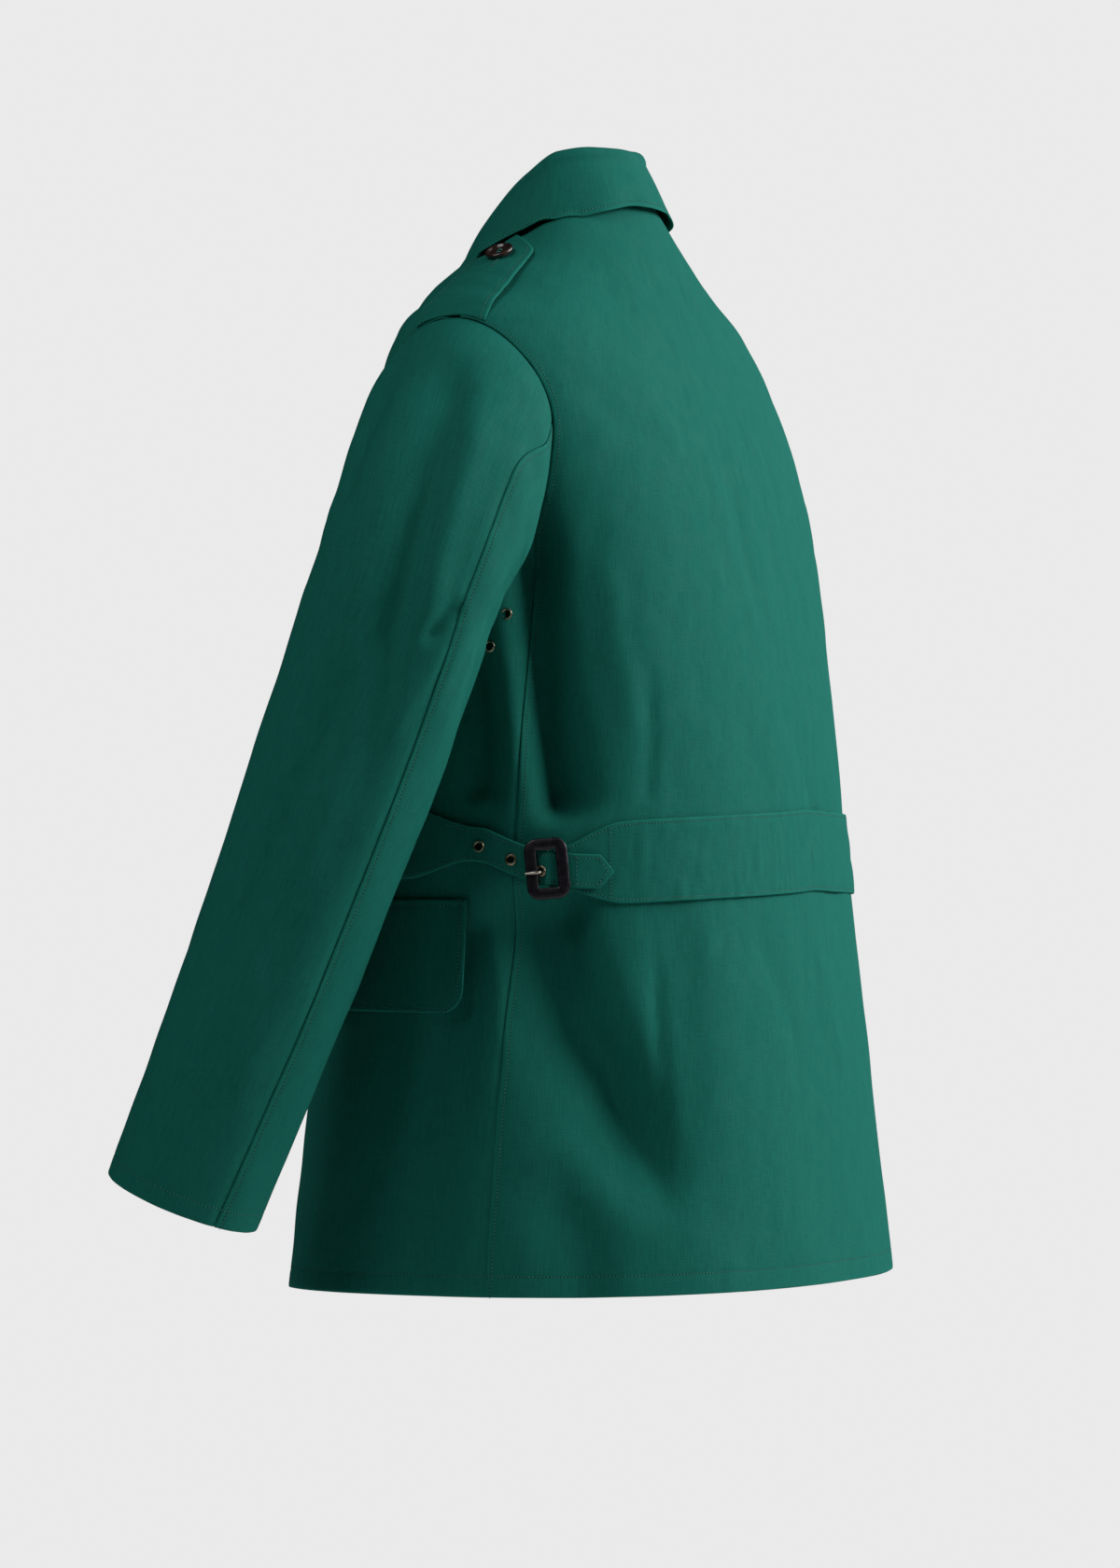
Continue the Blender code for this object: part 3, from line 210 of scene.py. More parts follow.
@dataclass(frozen=True)
class Crease:
    """A fold along a given line; a depth above zero stands out of the cloth."""

    line: tuple[Pair, ...]  # (degrees round, way along) points
    depth: float
    before: float  # half width on the side of the lower angles
    after: float  # half width on the side of the higher angles
    fade_start: float = 0.25  # share of the line over which the fold comes and goes
    fade_end: float = 0.25

    def relief(self, angle: Array, way: Array, radius: float, scale: float) -> Array:
        """Finds the nearest point of the line, then reads the fold's section there.

        Args:
            angle: Angles in radians.
            way: Ways along.
            radius: Turns an angle into metres.
            scale: Turns a way into metres.

        Returns:
            The fold's height at each point.
        """
        x, y = angle * radius, way * scale
        spots = np.array([(math.radians(a) * radius, w * scale) for a, w in self.line])
        lengths = np.linalg.norm(np.diff(spots, axis=0), axis=1)
        total = lengths.sum()
        nearest = np.full(x.shape, 1e9)
        offset, share = np.zeros(x.shape), np.zeros(x.shape)
        gone = 0.0
        for (ax, ay), (bx, by), length in zip(spots, spots[1:], lengths):
            ux, uy = (bx - ax) / length, (by - ay) / length
            along = np.clip((x - ax) * ux + (y - ay) * uy, 0, length)
            dx, dy = x - ax - along * ux, y - ay - along * uy
            apart = np.hypot(dx, dy)
            closer = apart < nearest
            side = np.sign(-dx * uy + dy * ux) * (-1 if by >= ay else 1)
            nearest = np.where(closer, apart, nearest)
            offset = np.where(closer, apart * side, offset)
            share = np.where(closer, (gone + along) / total, share)
            gone += length
        width = np.where(offset < 0, self.before, self.after)
        ends = ease(share / self.fade_start) * ease((1 - share) / self.fade_end)
        return self.depth * ends * np.exp(-((offset / width) ** 2))


# ---- the body's form
@dataclass(frozen=True)
class BodyForm:
    """The surface that the panels lie on, read by (angle, run).

    The angle runs round the body from the wearer's left (0) over the back (90 degrees), and run
    climbs up the cloth from the hem to the neck seam.
    """

    columns: tuple[str, ...] = ("run", "height", "half_width", "back_depth", "front_depth",
                                "centre_y", "squareness", "back_rise", "front_drop")
    sections: tuple[Floats, ...] = (
        (0.000, -0.721, 0.243, 0.197, 0.197, 0.000, 2.30, 0.002, 0.005),
        (0.140, -0.581, 0.233, 0.181, 0.180, 0.000, 2.30, 0.006, 0.003),
        (0.296, -0.425, 0.221, 0.163, 0.160, 0.000, 2.30, 0.008, 0.000),
        (0.471, -0.250, 0.214, 0.140, 0.144, 0.000, 2.45, 0.003, 0.003),
        (0.581, -0.150, 0.212, 0.119, 0.127, -0.002, 2.45, 0.000, 0.016),
        (0.651, -0.090, 0.210, 0.098, 0.110, -0.006, 2.35, 0.000, 0.028),
        (0.691, -0.062, 0.200, 0.088, 0.100, -0.009, 2.20, 0.003, 0.036),
        (0.741, -0.038, 0.158, 0.078, 0.097, -0.011, 2.10, 0.008, 0.043),
        (0.791, -0.015, 0.112, 0.068, 0.092, -0.013, 2.00, 0.015, 0.052),
        (0.836, 0.000, 0.072, 0.056, 0.073, -0.015, 2.00, 0.031, 0.068),
    )
    rise_rounding: float = 0.10
    neck_lift: float = 0.0160
    neck_run: float = 0.836
    side_seam_runs: Floats = (0.000, 0.296, 0.516)
    side_seam_y: Floats = (0.027, 0.039, 0.047)
    hole_top: Pair = (-0.013, -0.060)
    hole_back: Pair = (0.057, -0.140)
    hole_bottom: Pair = (-0.008, -0.248)
    hole_front: Pair = (-0.074, -0.152)
    hole_middle: Pair = (-0.008, -0.155)
    hole_fullness: tuple[float, float, float] = (1.10, 0.75, 0.86)
    # Long folds of the solids: (angle, run) at the top and the bottom, two half widths, depth.
    folds: tuple[Floats, ...] = (
        (23.0, 0.560, 24.0, 0.345, 0.018, 0.022, -0.003),
        (12.0, 0.490, 10.0, 0.335, 0.012, 0.014, 0.005),
        (-2.0, 0.470, 4.0, 0.330, 0.012, 0.012, -0.008),
        (22.0, 0.285, 36.0, 0.030, 0.016, 0.030, -0.002),
        (-1.0, 0.290, -2.0, -0.120, 0.014, 0.020, -0.010),
        (40.0, 0.290, 40.0, 0.040, 0.018, 0.026, -0.004),
        (158.0, 0.570, 155.0, 0.345, 0.018, 0.022, -0.011),
        (169.0, 0.490, 170.0, 0.335, 0.012, 0.014, 0.005),
        (183.0, 0.470, 177.0, 0.330, 0.012, 0.012, -0.008),
        (157.0, 0.285, 146.0, 0.020, 0.016, 0.030, -0.009),
        (182.0, 0.290, 184.0, -0.120, 0.014, 0.022, -0.009),
        (-52.0, 0.560, -58.0, 0.330, 0.022, 0.030, -0.004),
        (232.0, 0.560, 238.0, 0.330, 0.022, 0.030, -0.004),
        (-50.0, 0.240, -60.0, -0.150, 0.022, 0.040, -0.006),
        (230.0, 0.240, 241.0, -0.150, 0.022, 0.040, -0.006),
    )
    creases: tuple[Crease, ...] = (
        # left side, back of the side seam, above the belt
        Crease(((11, .570), (12, .490), (12.8, .450), (14.5, .398), (16.8, .357), (19, .312)),
               -.0290, .012, .020, .32, .08),
        Crease(((25, .520), (29, .430), (33, .350)), .0022, .012, .010),
        Crease(((36, .430), (36, .370), (35, .325)), -.0018, .008, .0035, .4, .1),
        Crease(((6, .400), (7, .350), (6, .318)), -.0016, .005, .006),
        Crease(((1, .440), (3, .380), (3, .330)), -.0060, .008, .010, .3, .1),
        # below the belt
        Crease(((17, .285), (18.7, .242), (21.3, .211), (24, .180), (29, .149), (32.6, .117),
                (35, .080), (36.5, .040)), -.0330, .046, .015, .15, .35),
        Crease(((16, .105), (19, .060), (22, .037), (23, -.010)), -.0100, .026, .016, .45, .05),
        Crease(((35.5, .262), (36.5, .200), (37.5, .150), (37.5, .050)),
               -.0034, .009, .003, .4, .3),
        Crease(((4, .262), (7, .215), (9, .150)), .0022, .006, .007),
        Crease(((2.5, .262), (3, .215), (2, .080)), -.0060, .009, .009, .1, .4),
        Crease(((60, .250), (70, .190), (76, .120)), -.0012, .014, .012),
        Crease(((84, .255), (92, .200), (97, .120)), .0012, .012, .014),
        # upper back
        Crease(((73, .650), (72, .500), (84, .370)), -.0012, .012, .022),
        Crease(((58, .600), (66, .500), (80, .410)), .0010, .014, .014),
        Crease(((22, .640), (32, .600), (46, .585)), -.0012, .010, .014),
        Crease(((93, .350), (97, .320), (103, .300)), -.0012, .008, .006),
        # the wearer's right side
        Crease(((165, .530), (162, .430), (158, .330)), -.0026, .004, .006, .2, .05),
        Crease(((147, .430), (146, .370), (146, .325)), -.0016, .005, .008, .4, .1),
        Crease(((163, .262), (154, .205), (142, .150)), -.0038, .018, .010, .15, .45),
        Crease(((110, .640), (106, .520), (112, .400)), -.0012, .018, .012),
        Crease(((140, .240), (132, .160), (128, .080)), -.0014, .012, .014),
        Crease(((174, .262), (172, .200), (171, .140)), .0020, .007, .006),
        # fronts
        Crease(((-36, .640), (-42, .540), (-50, .440)), -.0018, .012, .010),
        Crease(((-70, .420), (-66, .330), (-62, .250)), -.0014, .012, .014),
        Crease(((214, .640), (221, .540), (231, .440)), -.0018, .010, .012),
        Crease(((250, .250), (246, .150), (243, .050)), -.0014, .012, .012),
        Crease(((-74, .200), (-78, .110), (-80, .030)), .0012, .012, .012),
    )

    def ring(self, run: Array) -> dict[str, Array]:
        """Reads the section's sizes.

        Args:
            run: Where to read them.

        Returns:
            The sizes by name.
        """
        knots = [section[0] for section in self.sections]
        return {name: smooth_through(knots, [s[i] for s in self.sections], run)
                for i, name in enumerate(self.columns)}

    def point(self, angle: Array, run: Array) -> Array:
        """Reads the smooth body, which is a rounded oval at each run.

        Args:
            angle: Angles in radians.
            run: Runs.

        Returns:
            The points there.
        """
        ring = self.ring(run)
        c, s = np.cos(angle), np.sin(angle)
        depth = np.where(s >= 0, ring["back_depth"], ring["front_depth"])
        power = ring["squareness"]
        reach = (np.abs(c / ring["half_width"]) ** power
                 + np.abs(s / depth) ** power) ** (-1 / power)
        soft = self.rise_rounding
        behind = (np.hypot(np.maximum(s, 0), soft) - soft) / (math.hypot(1, soft) - soft)
        height = (ring["height"] + ring["back_rise"] * behind
                  - ring["front_drop"] * np.maximum(-s, 0) ** 2)
        from_back = np.degrees(np.arccos(np.clip(s, -1, 1)))
        beside_neck = self.neck_lift * np.exp(-(((from_back - 73) / 25) ** 2))
        height = height + beside_neck * ease((run - 0.78) / 0.056)
        return np.stack([reach * c, ring["centre_y"] + reach * s, height], axis=-1)

    def normal(self, angle: Array, run: Array) -> Array:
        """Finds the outward direction of the smooth body.

        Args:
            angle: Angles in radians.
            run: Runs.

        Returns:
            Directions of length one.
        """
        small = 1e-3
        low, high = np.maximum(run - small, 0.0), np.minimum(run + small, self.neck_run)
        round_it = self.point(angle + small, run) - self.point(angle - small, run)
        return unit(np.cross(round_it, self.point(angle, high) - self.point(angle, low)))

    def relief(self, angle: Array, run: Array, fine: bool = True) -> Array:
        """Adds up the folds of the cloth.

        Args:
            angle: Angles in radians.
            run: Runs.
            fine: Also counts the small creases, which the solids lack.

        Returns:
            How far the cloth stands out of the smooth body.
        """
        total = long_folds(self.folds, angle, run, BODY_RADIUS)
        if fine:
            for crease in self.creases:
                total = total + crease.relief(angle, run, BODY_RADIUS, 1.0)
            calm = ease((self.neck_run - run) / 0.10)
            for height, seed, size in ((0.00055, 7, 0.075), (0.00022, 8, 0.022)):
                total = total + height * calm * ripple(angle * BODY_RADIUS, run, seed, size)
        return total

    def surface(self, angle: Array, run: Array, lift: Array | float = 0.0,
                fine: bool = True) -> Array:
        """Returns points of the folded body, moved out by lift."""
        out = self.relief(angle, run, fine) + lift
        return self.point(angle, run) + self.normal(angle, run) * out[..., None]

    def run_at_height(self, z: Array) -> Array:
        """Returns the runs at which the side of the body has these heights."""
        z = np.asarray(z, float)
        return bisect(lambda run: self.ring(run)["height"] < z, 0.0, self.neck_run, z.shape)

    def beside(self, y: Array, z: Array) -> tuple[Array, Array]:
        """Finds places on the left side.

        Args:
            y: Where they lie from front to back.
            z: Their heights.

        Returns:
            Their angles and their runs.
        """
        run = self.run_at_height(z)
        ring = self.ring(run)
        off = y - ring["centre_y"]
        depth = np.where(off >= 0, ring["back_depth"], ring["front_depth"])
        share = np.clip(1 - np.abs(off / depth) ** ring["squareness"], 0, 1)
        return np.arctan2(off, ring["half_width"] * share ** (1 / ring["squareness"])), run

    def above(self, x: Array, y: Array) -> tuple[Array, Array]:
        """Finds places on the left shoulder from above.

        Args:
            x: How far left they lie.
            y: Where they lie from front to back.

        Returns:
            Their angles and their runs.
        """

        def inside(run: Array) -> Array:
            """Says which places lie inside the body's section.

            Args:
                run: The section's run, for each place.

            Returns:
                True where the place is inside.
            """
            ring = self.ring(run)
            off = y - ring["centre_y"]
            depth = np.where(off >= 0, ring["back_depth"], ring["front_depth"])
            power = ring["squareness"]
            return np.abs(x / ring["half_width"]) ** power + np.abs(off / depth) ** power < 1

        run = bisect(inside, 0.60, self.neck_run, np.broadcast(x, y).shape)
        return np.arctan2(y - self.ring(run)["centre_y"], x), run

    def angle_at_x(self, x: float, run: Array) -> Array:
        """Returns the front angles at which the body reaches x."""
        return bisect(lambda angle: self.point(angle, run)[..., 0] < x, -math.pi / 2, 0.0,
                      np.shape(run))

    def armhole(self, turn: Array, grow: float = 0.0) -> tuple[Array, Array]:
        """Reads the armhole's oval, seen from the side.

        Args:
            turn: Turns in degrees, 0 at the top and 90 at the back.
            grow: How far outside the seam line to lie.

        Returns:
            The y and the z of its points.
        """
        turn = np.asarray(turn, float) % 360
        t = np.radians(turn)
        behind, upper = turn < 180, (turn < 90) | (turn > 270)
        side_y = np.where(behind, self.hole_back[0], self.hole_front[0])
        side_z = np.where(behind, self.hole_back[1], self.hole_front[1])
        end_y = np.where(upper, self.hole_top[0], self.hole_bottom[0])
        end_z = np.where(upper, self.hole_top[1], self.hole_bottom[1])
        full = np.where(upper, np.where(behind, self.hole_fullness[0], self.hole_fullness[1]),
                        self.hole_fullness[2])
        y = end_y + (side_y - end_y) * np.abs(np.sin(t)) ** full
        z = side_z + (end_z - side_z) * np.abs(np.cos(t)) ** full
        out_y, out_z = y - self.hole_middle[0], z - self.hole_middle[1]
        reach = np.hypot(out_y, out_z)
        return y + out_y / reach * grow, z + out_z / reach * grow

    def side_seam(self, runs: Array, shift: float) -> Array:
        """Follows the left side seam up from the hem.

        Args:
            runs: Where to read it.
            shift: How far round the body from the seam to lie, in metres.

        Returns:
            (angle, run) at each run.
        """
        ring = self.ring(runs)
        y = smooth_through(self.side_seam_runs, self.side_seam_y, runs) - ring["centre_y"]
        power = ring["squareness"]
        share = (1 - np.abs(y / ring["back_depth"]) ** power) ** (1 / power)
        angle = np.arctan2(y, ring["half_width"] * share)
        return np.stack([angle + shift / ring["half_width"], runs], axis=-1)

    def shoulder(self, first: float, shift: float, count: int) -> Array:
        """Follows the shoulder seam up to the neck.

        Args:
            first: The run at which it starts.
            shift: How far round the body from the seam to lie, in metres.
            count: The number of points.

        Returns:
            (angle, run) at each point.
        """
        runs = np.linspace(first, self.neck_run - 0.0003, count)
        return np.stack([shift / self.ring(runs)["half_width"], runs], axis=-1)


BODY = BodyForm()


def on_side(angle: Array, side: Side) -> Array:
    """Returns the angle of the same place on the given side of the body."""
    return angle if side is Side.LEFT else math.pi - angle


# ---- the sleeves' form
@dataclass(frozen=True)
class SleeveForm:
    """The surface of a sleeve, read by (turn, along).

    The turn runs round the arm from the outer side (0) over the back (90 degrees), and along
    climbs down from the armhole (0) over the arm (1) to the cuff (2).
    """

    side: Side
    columns: tuple[str, ...] = ("height", "centre_x", "centre_y", "across", "front_to_back")
    sections: tuple[Floats, ...] = (
        (-0.270, 0.2745, -0.0240, 0.0555, 0.0655),
        (-0.350, 0.2830, -0.0495, 0.0575, 0.0640),
        (-0.500, 0.3040, -0.1000, 0.0530, 0.0590),
        (-0.656, 0.3260, -0.1560, 0.0480, 0.0545),
    )
    cuff_tilt: float = 0.0055
    cuff_slant: float = 0.0020
    right_forward: Pair = (-0.011, 0.012)
    cap_length: float = 0.060
    cap_fall: float = 0.090
    crease_strength: float = 1.45
    way_scale: float = 0.30  # metres of sleeve for a step of one along
    folds: dict[Side, tuple[Floats, ...]] = field(default_factory=lambda: {
        Side.LEFT: ((18.0, 0.45, 14.0, 1.30, 0.014, 0.016, -0.005),
                    (-32.0, 1.05, -28.0, 1.80, 0.014, 0.014, -0.004),
                    (112.0, 0.40, 100.0, 1.15, 0.012, 0.012, -0.006)),
        Side.RIGHT: ((12.0, 0.50, 20.0, 1.35, 0.014, 0.016, -0.005),
                     (-28.0, 1.00, -36.0, 1.75, 0.014, 0.014, -0.004),
                     (108.0, 0.45, 102.0, 1.10, 0.012, 0.012, -0.005)),
    })
    creases: dict[Side, tuple[Crease, ...]] = field(default_factory=lambda: {
        Side.LEFT: (
            Crease(((-22, .16), (-28, .40), (-38, .62), (-46, .80)), -.0034, .012, .010),
            Crease(((-8, .30), (-14, .60), (-24, .95)), .0014, .008, .010),
            Crease(((15, .18), (19, .45), (19, .75), (27, 1.00), (34, 1.20), (37, 1.36)),
                   -.0056, .017, .009, .15, .2),
            Crease(((44, .45), (45, .75), (45, 1.15)), -.0013, .008, .010),
            Crease(((34, .30), (37, .70), (42, 1.05)), .0026, .010, .010),
            Crease(((61, .86), (52, .93), (44, 1.02)), -.0034, .006, .006),
            Crease(((61, .98), (50, 1.08), (42, 1.20)), .0013, .007, .006),
            Crease(((3, 1.02), (0, 1.24), (-6, 1.50), (-12, 1.74)), -.0052, .014, .010),
            Crease(((18, 1.12), (12, 1.34), (4, 1.60)), -.0016, .010, .006),
            Crease(((44, 1.30), (30, 1.44), (20, 1.62)), -.0014, .010, .008),
            Crease(((48, 1.52), (38, 1.66), (28, 1.82)), .0011, .009, .009),
            Crease(((100, .75), (84, .98), (72, 1.12)), -.0018, .007, .006),
        ),
        Side.RIGHT: (
            Crease(((-20, .18), (-30, .46), (-42, .80)), -.0020, .008, .006),
            Crease(((22, .50), (30, .90), (36, 1.28)), -.0034, .012, .008),
            Crease(((60, .90), (50, 1.02), (40, 1.16)), -.0020, .006, .006),
            Crease(((2, 1.05), (-8, 1.34), (-16, 1.68)), -.0024, .008, .009),
            Crease(((40, 1.28), (28, 1.46), (18, 1.66)), -.0014, .009, .008),
        ),
    })

    def column(self, name: str, height: Array) -> Array:
        """Reads one of the arm section's sizes.

        Args:
            name: Which size.
            height: Where to read it.

        Returns:
            The sizes there.
        """
        number = self.columns.index(name)
        return smooth_through([s[0] for s in reversed(self.sections)],
                              [s[number] for s in reversed(self.sections)], height)

    def centre(self, height: Array) -> Array:
        """Follows the middle of the arm.

        Args:
            height: Where to read it.

        Returns:
            The points there.
        """
        down = (height - self.sections[0][0]) / (self.sections[-1][0] - self.sections[0][0])
        forward = mix(*self.right_forward, ease(1.3 * down)) * (self.side is Side.RIGHT)
        return np.stack([self.column("centre_x", height),
                         self.column("centre_y", height) - forward, height], axis=-1)

    def arm(self, turn: Array, share: Array) -> tuple[Array, Array]:
        """Reads the arm tube below the cap.

        Args:
            turn: Turns in radians.
            share: Shares of the way from the armhole's bottom to the cuff.

        Returns:
            Left-hand points and the direction in which the arm runs down.
        """
        first, last, small = self.sections[0][0], self.sections[-1][0], 0.004
        height = mix(first, last, share)
        axis = unit(self.centre(np.maximum(height - small, last))
                    - self.centre(np.minimum(height + small, first)))
        across = unit(np.cross(np.array([0.0, 1.0, 0.0]), -axis))
        backward = np.cross(across, axis)
        outward = self.column("across", height) * np.cos(turn)
        behind = self.column("front_to_back", height) * np.sin(turn)
        tilt = ease(share) * (self.cuff_tilt * np.cos(turn) + self.cuff_slant * np.sin(turn))
        return (self.centre(height) + across * outward[..., None] + backward * behind[..., None]
                + axis * tilt[..., None]), axis

    def plain(self, turn: Array, along: Array) -> Array:
        """Reads the unfolded sleeve, whose cap bends from the armhole into the arm.

        Args:
            turn: Turns in radians.
            along: Ways along.

        Returns:
            Left-hand points.
        """
        arm, axis = self.arm(turn, np.clip(along - 1, 0, 1))
        angle, run = BODY.beside(*BODY.armhole(np.degrees(turn), -0.0003))
        outer = (1 + np.cos(turn)) / 2
        start = BODY.surface(on_side(angle, self.side), run, 0.0006 * (1 - outer), fine=False)
        start = start * np.array([self.side.value, 1, 1])
        leave = unit(np.stack([np.full(turn.shape, 0.90), 0.30 * np.sin(turn),
                               -0.40 - 0.85 * (1 - outer)], axis=-1))
        first = start + leave * (0.012 + (self.cap_length - 0.012) * outer**0.7)[..., None]
        last = arm - axis * (0.012 + (self.cap_fall - 0.012) * outer**0.8)[..., None]
        t = np.clip(along, 0, 1)[..., None]
        cap = ((1 - t) ** 3 * start + 3 * (1 - t) ** 2 * t * first
               + 3 * (1 - t) * t * t * last + t**3 * arm)
        return np.where((along < 1)[..., None], cap, arm)

    def relief(self, turn: Array, along: Array) -> Array:
        """Adds up the folds of the cloth.

        Args:
            turn: Turns in radians.
            along: Ways along.

        Returns:
            How far the cloth stands out of the plain sleeve.
        """
        total = long_folds(self.folds[self.side], turn, along, 0.06)
        for crease in self.creases[self.side]:
            total = total + self.crease_strength * crease.relief(turn, along, ARM_RADIUS,
                                                                 self.way_scale)
        calm = ease(along / 0.25)
        for height, seed, size in ((0.0006, 21 + self.side.value, 0.05), (0.0002, 23, 0.018)):
            total = total + height * calm * ripple(turn * ARM_RADIUS, along * self.way_scale,
                                                   seed, size)
        return total

    def surface(self, turn: Array, along: Array) -> Array:
        """Reads the folded sleeve on its own side.

        Args:
            turn: Turns in radians.
            along: Ways along.

        Returns:
            The points there.
        """
        small = 1e-3
        turn, along = np.broadcast_arrays(turn, along)
        round_it = self.plain(turn + small, along) - self.plain(turn - small, along)
        down = (self.plain(turn, np.minimum(along + small, 2))
                - self.plain(turn, np.maximum(along - small, 0)))
        normal = unit(np.cross(down, round_it))
        point = self.plain(turn, along) + normal * self.relief(turn, along)[..., None]
        return point * np.array([self.side.value, 1, 1])


# ---- grids of cloth
@dataclass
class Grid:
    """Points of one face of a piece of cloth, with the cloth's own coordinates in metres."""

    points: Array
    flat: Array
    sewn: tuple[Edge, ...] = tuple(Edge)  # the edges that are real edges of the piece
    outward: float = 1.0

    def __post_init__(self) -> None:
        """Finds each point's outward direction and its distance from every edge."""
        across = np.gradient(self.points, axis=1)
        upward = np.gradient(self.points, axis=0)
        self.normals = unit(np.cross(across, upward)) * self.outward
        steps = np.linalg.norm(np.diff(self.points, axis=1), axis=-1)
        start = np.concatenate([np.zeros((len(steps), 1)), np.cumsum(steps, axis=1)], axis=1)
        steps = np.linalg.norm(np.diff(self.points, axis=0), axis=-1)
        bottom = np.concatenate([np.zeros((1, steps.shape[1])), np.cumsum(steps, axis=0)])
        self.away = {Edge.START: start, Edge.END: start[:, -1:] - start,
                     Edge.BOTTOM: bottom, Edge.TOP: bottom[-1:] - bottom}

    @property
    def from_edge(self) -> Array:
        """Distance of each point from the nearest real edge."""
        if not self.sewn:
            return np.full(self.points.shape[:2], 1.0)
        return np.min([self.away[edge] for edge in self.sewn], axis=0)

    def press(self, edge: Edge, inset: float, depth: float = 0.00025,
              width: float = 0.0009) -> None:
        """Presses a shallow channel along an edge, where stitches pull the cloth in."""
        dent = depth * np.exp(-(((self.away[edge] - inset) / width) ** 2))
        self.points = self.points - self.normals * dent[..., None]

    def line(self, edge: Edge, inset: float, lift: float = 0.0001,
             trim: Pair = (0.0, 1.0)) -> Array:
        """Follows one of the edges on the cloth.

        Args:
            edge: The edge.
            inset: The line's distance from it.
            lift: How far the line stands off the cloth.
            trim: Shares of the line between which it is kept.

        Returns:
            The line's points.
        """
        away, points, normals = self.away[edge], self.points, self.normals
        if edge in (Edge.BOTTOM, Edge.TOP):
            away, points, normals = away.T, points.swapaxes(0, 1), normals.swapaxes(0, 1)
        if edge in (Edge.END, Edge.TOP):
            away, points, normals = away[:, ::-1], points[:, ::-1], normals[:, ::-1]
        spots = []
        count = len(points)
        for i in range(int(trim[0] * (count - 1)), int(round(trim[1] * (count - 1))) + 1):
            found = [np.interp(inset, away[i], points[i, :, k] + normals[i, :, k] * lift)
                     for k in range(3)]
            spots.append(found)
        return np.array(spots)

    @property
    def area(self) -> float:
        """Area of the face."""
        p = self.points
        one = np.cross(p[1:, 1:] - p[:-1, :-1], p[1:, :-1] - p[:-1, 1:])
        return float(np.linalg.norm(one, axis=-1).sum() / 2)


def lowered(points: Array, edge: Edge, outward: float, depth: float, width: float) -> Array:
    """Lets a grid sink gently towards one of its edges.

    Args:
        points: The grid's points.
        edge: The edge.
        outward: Which way the grid faces, as in Grid.
        depth: How far the edge sinks.
        width: How far from the edge it starts to.

    Returns:
        The new points.
    """
    plain = Grid(points, np.zeros(points.shape[:2] + (2,)), (), outward)
    near = 1 - ease(plain.away[edge] / width)
    return points - plain.normals * (depth * near)[..., None]


def tucked(points: Array, flat: Array, edge: Edge, outward: float,
           reach: float = 0.0040, sink: float = 0.0021) -> tuple[Array, Array]:
    """Adds a seam allowance beyond an edge, which slips under the neighbour's cloth.

    Args:
        points: The grid's points.
        flat: Its cloth coordinates.
        edge: The edge to add to.
        outward: Which way the grid faces, as in Grid.
        reach: The allowance's width.
        sink: How far under the surface it lies.

    Returns:
        The larger grid's points and cloth coordinates.
    """
    normals = unit(np.cross(np.gradient(points, axis=1), np.gradient(points, axis=0))) * outward

    def turned(grid: Array) -> Array:
        """Turns a grid so that the edge is a column; the same call turns it back.

        Args:
            grid: The grid.

        Returns:
            The turned grid.
        """
        if edge in (Edge.BOTTOM, Edge.TOP):
            grid = grid.swapaxes(0, 1)
        return grid

    at_end = edge in (Edge.END, Edge.TOP)
    points, flat, normals = turned(points), turned(flat), turned(normals)
    first, second = (-1, -2) if at_end else (0, 1)
    away = unit(points[:, first] - points[:, second])
    down = normals[:, first]
    flat_way = unit(flat[:, first] - flat[:, second])
    rows, flats = [points], [flat]
    for share, depth in ((0.22, 0.75), (1.0, 1.0)):
        row = points[:, first] + away * reach * share - down * sink * depth
        rows.append(row[:, None])
        flats.append((flat[:, first] + flat_way * reach * share)[:, None])
    if not at_end:
        rows, flats = rows[::-1], flats[::-1]
    return turned(np.concatenate(rows, axis=1)), turned(np.concatenate(flats, axis=1))


def spread(length: float, step: float, near: Sequence[float] = EDGE_ROUNDING,
           lines: Sequence[float] = (), end_lines: Sequence[float] = ()) -> Array:
    """Returns shares of a length at which a grid has its lines.

    Args:
        length: The length in metres.
        step: Usual distance between lines.
        near: Extra lines at these distances from both ends, which round the cloth's edges.
        lines: Stitch rows from the start, each with lines close on both sides.
        end_lines: The same, from the end.

    Returns:
        Rising shares from 0 to 1.
    """
    count = max(int(round(length / step)), 2)
    fixed = {0.0, length, *near, *(length - d for d in near)}
    for row in lines:
        fixed |= {row - 0.0011, row, row + 0.0011}
    for row in end_lines:
        fixed |= {length - row - 0.0011, length - row, length - row + 0.0011}
    fixed = {d for d in fixed if 0 <= d <= length}
    usual = [d for d in np.linspace(0, length, count + 1)
             if min(abs(d - f) for f in fixed) > 0.4 * min(step, 0.0012)]
    return np.array(sorted(fixed | set(usual))) / length


def resampled(points: Array, shares: Array) -> Array:
    """Spaces points along a line on the body.

    Args:
        points: (angle, run) points of the line.
        shares: Shares of its length on the body.

    Returns:
        (angle, run) at each share.
    """
    steps = np.linalg.norm(np.diff(points, axis=0) * [BODY_RADIUS, 1.0], axis=1)
    way = np.concatenate([[0], np.cumsum(steps)])
    return np.stack([np.interp(shares * way[-1], way, points[:, i]) for i in range(2)], axis=-1)


